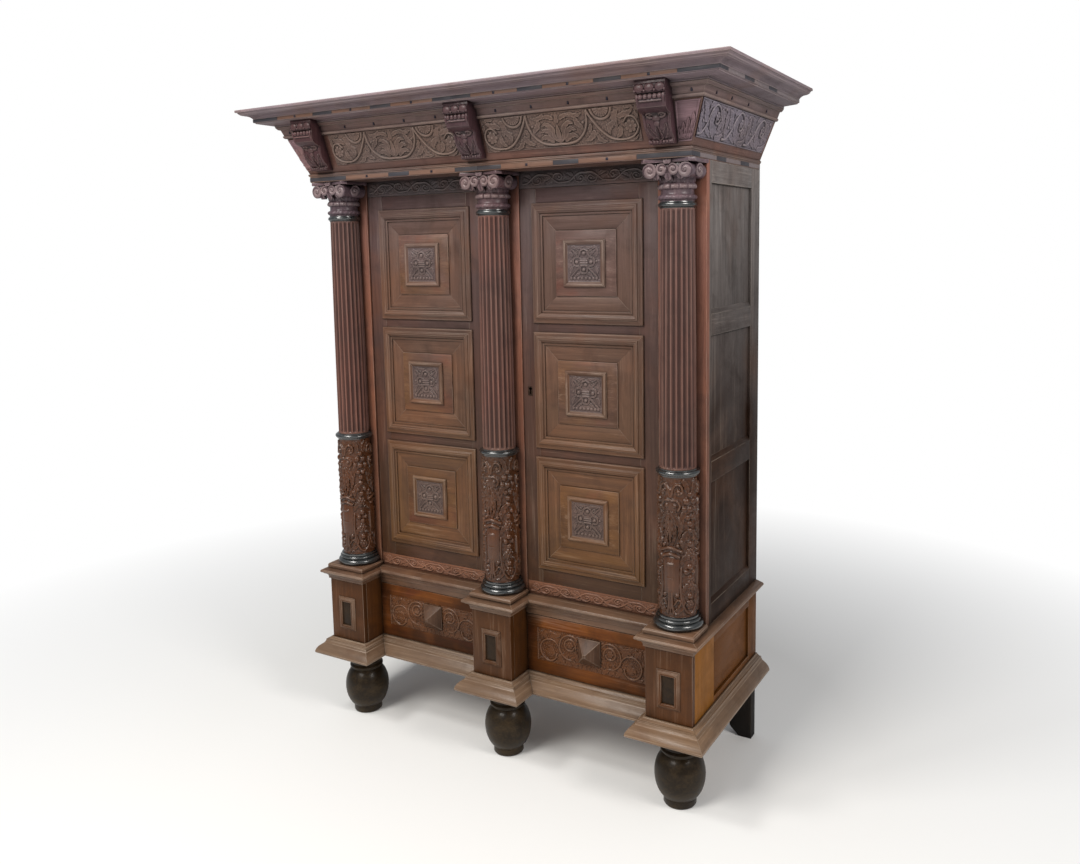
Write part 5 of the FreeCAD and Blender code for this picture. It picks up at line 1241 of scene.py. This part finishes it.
# ------------------------------------------------------------------ capitals
def volute(name, middle, radius, side, turn, depth):
    """Scroll seen from its end: windings that rise to an eye, and a roll waisted behind.
    middle is the centre of its end, side the way it winds, and turn swings it about the
    upright."""
    steps = np.linspace(0, radius, 24)[:, None]
    out = np.linspace(0, 2 * math.pi, 73)[None, :]
    spin = (steps / radius) ** 0.85 * 1.45 - side * out / (2 * math.pi)
    winding = 4.8 * np.sin(np.pi * (spin % 1)) ** 0.6
    eye = radius * 0.2
    front = np.where(steps < eye, 4.2 * dome(steps / eye) + 0.6, winding)
    front = front + 2.0 * (1 - steps / radius)
    front[-1, :] = 1.2
    back = np.array([0.0, 0.15, 0.35, 0.6, 0.85, 1.0])[:, None]
    rows = [np.broadcast_to(part, (len(part), out.size)) for part in (
        steps, radius * (1 - 0.16 * np.sin(np.pi * back)), -depth * back, 0.5 + 0 * back)]
    rounded = np.vstack(rows[:2])
    lengths = np.vstack([front, rows[2]])
    # The windings' height sets their painted highlight, and the gaps between them take painted
    # shade.
    relief = np.vstack([np.clip(front / 4.2, 0, 1), rows[3]])
    across, up = rounded * np.sin(out), rounded * np.cos(out)
    swing = math.radians(turn)
    x = middle[0] + across * math.cos(swing) + lengths * math.sin(swing)
    y = middle[1] + across * math.sin(swing) - lengths * math.cos(swing)
    grain = np.stack([across, up, lengths], axis=-1) * MM
    return grid_piece(name, "column_middle_capital", "capital_oak",
                      placed(x, y, middle[2] + up), grain, relief, SCROLL_ANGLE)


def bell_bumps(turn, height):
    """Twisted beads on the roll and a ring of leaves on the bell of a capital."""
    beads = 1.9 * np.abs(np.cos(11 * turn + (height - 1852) * 0.16))
    beads = beads * np.clip(1 - np.abs(height - BEAD_RING) / 8, 0, 1) ** 0.5
    rise = np.clip((height - 1874) / 19, 0, 1)
    lobes = np.abs(np.cos(6.5 * turn)) ** 0.5
    leaves = 8.0 * np.sin(np.pi * rise ** 0.75) * (0.3 + 0.7 * lobes)
    veins = 0.5 * np.cos(39 * turn) * (rise > 0) * (rise < 1)
    buds = 1.4 * np.abs(np.cos(13 * turn)) * (height > 1894) * (height < 1908)
    return beads + leaves + veins + buds


def bell_relief(turn, height):
    """Crests and hollows of the bell, which set its painted highlight and painted shade."""
    return np.clip(0.28 + bell_bumps(turn, height) / 9, 0, 1)


def curled(across, up, out, middle, low):
    """Places on a leaf of the capital that curls forwards."""
    return placed(middle + across, -99.0 - out - 10 * np.sin(np.pi * up / 60), low + up)


def carve_capitals():
    """Capitals: bell with beads and leaves, scrolls, and a hollow-sided abacus."""
    node = "column_middle_capital"
    outline = [(46.0, 1841.0), (49.5, 1841.0), (50.0, 1844.5), *roll(49.5, 5.5, 1845.5, 1859.5),
               (48.5, 1860.5), (48.0, 1862.0), (47.5, 1868.0), (47.8, 1873.5)]
    outline += [(47.8 + 0.15 * step, 1874.0 + 1.5 * step) for step in range(14)]
    outline += [(50.0, 1895.5), (51.0, 1900.0), (53.0, 1907.0), (54.0, 1914.0), (46.0, 1914.0)]
    pieces = [turned("capital_bell", node, "capital_oak", outline, 192, bumps=bell_bumps,
                     relief=bell_relief)]
    for way in (-1, 1):
        for name, place, radius, side, turn, depth in (
                ("scroll", (way * 54.0, -110.5, 1925.0), 21.8, way, 0, 100.0),
                ("inner_scroll", (way * 17.5, -111.5, 1928.0), 17.0, -way, 0, 40.0),
                ("side_scroll", (way * 74.0, -62.0, 1925.0), 20.0, way, way * 78, 24.0)):
            pieces.append(volute("capital_" + name, place, radius, side, turn, depth))
    stalk = Carving((-11, 0), (11, 44), 1.1)
    stalk.leaf([(0, 0), (0, 22), (0, 44)], 24, 6.0, 3, 0.4)
    for middle, low in ((-36.0, 1900.0), (0.0, 1897.0), (36.0, 1900.0)):
        pieces.append(stalk.piece("capital_leaf", node, "capital_oak",
                                  partial(curled, middle=middle, low=low), 6.0))
    shell = Carving((-13, 0), (13, 15), 1.0)
    for east in (-9, -4.5, 0, 4.5, 9):
        shell.leaf([(east * 0.4, 0), (east, 7), (east * 1.1, 14.5)], 6, 4.0, 1, 0.3)
    pieces.append(shell.piece("capital_shell", node, "capital_oak",
                              upright(0.0, -113.5, 1942.5), 6.0))
    stand([("capital", piece) for piece in pieces])
    for side in COLUMN_SIDES:
        boards("column_%s_capital" % side, "capital_oak", abacus)


def abacus(low, high):
    """The capital's slab and the block over it, and not the plain bell or scrolls."""
    return low[2] > 1.94 or high[0] - low[0] > 0.08 and low[2] > 1.9


# ------------------------------------------------------------------ brackets
def bracket_outline():
    """Reach and height along the front of a bracket, from its toe to under its cap."""
    line = [(34.0, 1994.5), (35.5, 2000.0), (33.0, 2005.0), (31.0, 2008.0)]
    for share in np.linspace(0, 1, 14)[1:]:
        line.append((31 + 35 * share + 9.5 * math.sin(math.pi * share), 2008 + 62 * share))
    for share in np.linspace(0, 1, 18)[1:]:
        line.append((66 + 38 * share + 17 * math.sin(math.pi * share) ** 0.8, 2070 + 49 * share))
    return smooth(line, 4)


def carve_brackets():
    """Carved fronts of the brackets: lobed cap, eggs, leaf that curls over, beads at the foot."""
    line = bracket_outline()
    run = np.concatenate([[0], np.cumsum(np.hypot(*np.diff(line, axis=0).T))])
    whole = run[-1]
    slope = np.arctan2(np.gradient(line[:, 1], run), np.gradient(line[:, 0], run))
    face = Carving((-36, 0), (36, whole), 1.2)
    for way in (-1, 1):
        face.set_out((way, 1))
        face.stem([(32.5, 2), (32.5, whole - 2)], 7, 3.4)
        face.leaf([(2, 12), (14, 28), (23, 48), (24, 66)], 19, 6.0, 5)
        face.stem(spiral((15, 92), 13, 3, 250, 1.2), 8, 6.5, 1.0, 0.7)
        face.boss((15, 92), 5.5, 8.0)
        face.leaf([(4, 108), (14, 116), (26, 112), (29, 98)], 13, 5.0, 4)
    face.set_out()
    face.leaf([(0, 6), (0, 34), (0, 62)], 24, 7.0, 5)
    face.boss((0, 78), 12, 9.5, 0.8)
    face.boss((0, 64), 7.5, 8.0, 1.3)
    face.stem([(-27.0, whole - 20), (27.0, whole - 20)], 5, 4.2)
    for east in (-24, -12, 0, 12, 24):
        face.boss((east, whole - 9), 6.2, 5.4, 1.2)
    for east in np.linspace(-28, 28, 7):
        face.boss((east, 5), 4.2, 3.6)
    face.fill(1.5, 8.0)

    def place(across, up, out):
        height = np.interp(up, run, line[:, 1])
        tilt = np.interp(up, run, slope)
        reach = np.interp(up, run, line[:, 0]) + out * np.sin(tilt) - 1.0
        height = height - out * np.cos(tilt)
        wide = 1 + 10 * (height - BRACKET_FOOT) / BRACKET_TALL / BRACKET_HALF
        return placed(across * wide, BEAM_FACE - reach, height)

    cap = Carving((-45, 0), (45, 24), 1.0)
    for east in (-30, 0, 30):
        cap.boss((east, 12), 14.5, 6.5, 0.82)
    for east in (-15, 15, -43, 43):
        cap.boss((east, 5), 4.0, 4.0)
    cap.border(1.6, 2.4)
    pieces = [face.piece("bracket_carving", "brackets", "bracket_oak", place, 5.0),
              cap.piece("bracket_cap", "brackets", "bracket_oak",
                        upright(0.0, -230.3, 2121.5), 3.0)]
    for piece in pieces:
        for shift, log in ((-COLUMN, 0.9), (COLUMN, 1.8)):
            repeat(piece, "brackets", (shift, 0.0, 0.0), log)


# ------------------------------------------------------------------ inlay and small parts
def blocks(name, node, finish, corners, wear):
    """Small boxes with worn edges in one piece, from two opposite corners of each in mm."""
    total = bmesh.new()
    layer = total.loops.layers.float_vector.new("grain")
    for ends in corners:
        low, high = [Vector([pick_end(pair) for pair in zip(*ends)]) for pick_end in (min, max)]
        middle, span = (low + high) / 2, high - low
        for vertex in bmesh.ops.create_cube(total, size=1)["verts"]:
            place = Vector([middle[axis] + vertex.co[axis] * span[axis] for axis in range(3)])
            vertex.co = (place + Vector((0, DOOR_PLANE, 0))) * MM
    bmesh.ops.bevel(total, geom=total.edges[:], offset=wear * MM, segments=2, profile=0.5,
                    affect="EDGES", clamp_overlap=True)
    for face in total.faces:
        for loop in face.loops:
            loop[layer] = loop.vert.co
    new_piece(name, total, [finish], node)


def inlay_line(label, node, front, half, low, high, light_runs):
    """Light and dark lengths let into the front and sides of a moulding, with pegs."""
    light, dark, pegs, grey = [], [], [], []
    edges = [0.0, *[edge for run in light_runs for edge in run], half + 0.5]
    stops = [front + gap for gap in (0.4, 60, 190, 270, 400, 480)] + [470]
    middle = (low + high) / 2
    for side in (-1, 1):
        for index, (start, end) in enumerate(zip(edges, edges[1:])):
            box = ((side * (start + 0.3), front - 0.7, low),
                   (side * (end - 0.3), front + 0.6, high))
            (light if index % 2 else dark).append(box)
        for first, last in light_runs:
            x = side * (first + last) / 2
            pegs.append(((x - 4, front - 1.6, middle - 4), (x + 4, front + 1, middle + 4)))
        for index, (start, end) in enumerate(zip(stops, stops[1:])):
            box = ((side * (half - 0.6), start + 0.3, low), (side * (half + 0.7), end - 0.3, high))
            (grey if index % 2 else dark).append(box)
    blocks(label + "_dark_inlay", node, "inlay_dark", dark, 0.2)
    blocks(label + "_light_inlay", node, "inlay_light", light, 0.2)
    blocks(label + "_side_inlay", node, "inlay_grey", grey, 0.2)
    blocks(label + "_pegs", node, "peg_black", pegs, 0.8)


def lay_inlay():
    """Inlay in the architrave and in the crown's nose."""
    inlay_line("architrave", "architrave", BEAM_FACE, HALF_WIDE, 1961.0, 1973.5,
               ((87, 272), (358, 545)))
    inlay_line("nose", "crown_moulding", NOSE_FACE, NOSE_HALF, 2160.0, 2170.0,
               ((70, 232), (315, 477), (560, 722)))


def bed_pegs():
    """Small dark pegs on the leaning band under the crown."""
    boxes = []
    high = BED_LOW + 9
    reach = (BED_LOW + 7 - FRIEZE_FOOT) * LEAN / FRIEZE_TALL + 3
    front, flank = BEAM_FACE - reach, HALF_WIDE + reach
    for side in (-1, 1):
        for x in (112, 236, 360, 484, 735):
            boxes.append(((side * x - 2.5, front - 1.5, BED_LOW),
                          (side * x + 2.5, front + 6, high)))
        for y in (-94, 28, 172, 343):
            boxes.append(((side * (flank - 6), y - 2.5, BED_LOW),
                          (side * (flank + 1.5), y + 2.5, high)))
    blocks("bed_pegs", "crown_moulding", "peg_black", boxes, 1.0)


def keyhole_rim():
    """Blackened edge round the keyhole in the right door."""
    x, z = KEYHOLE_ACROSS, KEYHOLE_UP
    boxes = []
    for side in (-1, 1):
        for inner, low, high in ((5.6, z - 5, z + 8), (2.9, z - 22, z - 5)):
            boxes.append(((x + side * inner, -0.6, low), (x + side * 8, 0.4, high)))
    for low, high in ((z + 5.8, z + 8), (z - 22, z - 19.2)):
        boxes.append(((x - 8, -0.7, low), (x + 8, 0.4, high)))
    blocks("keyhole_rim", "door_right_frame", "tablet_black", boxes, 0.2)


# ------------------------------------------------------------------ the whole cupboard
bpy.context.scene.view_settings.view_transform = "Standard"
place_camera()
light_studio()
lay_floor()
make_finishes()
dress_boards()
carve_frieze()
carve_boards()
turn_feet()
turn_columns()
carve_capitals()
carve_brackets()
lay_inlay()
bed_pegs()
keyhole_rim()
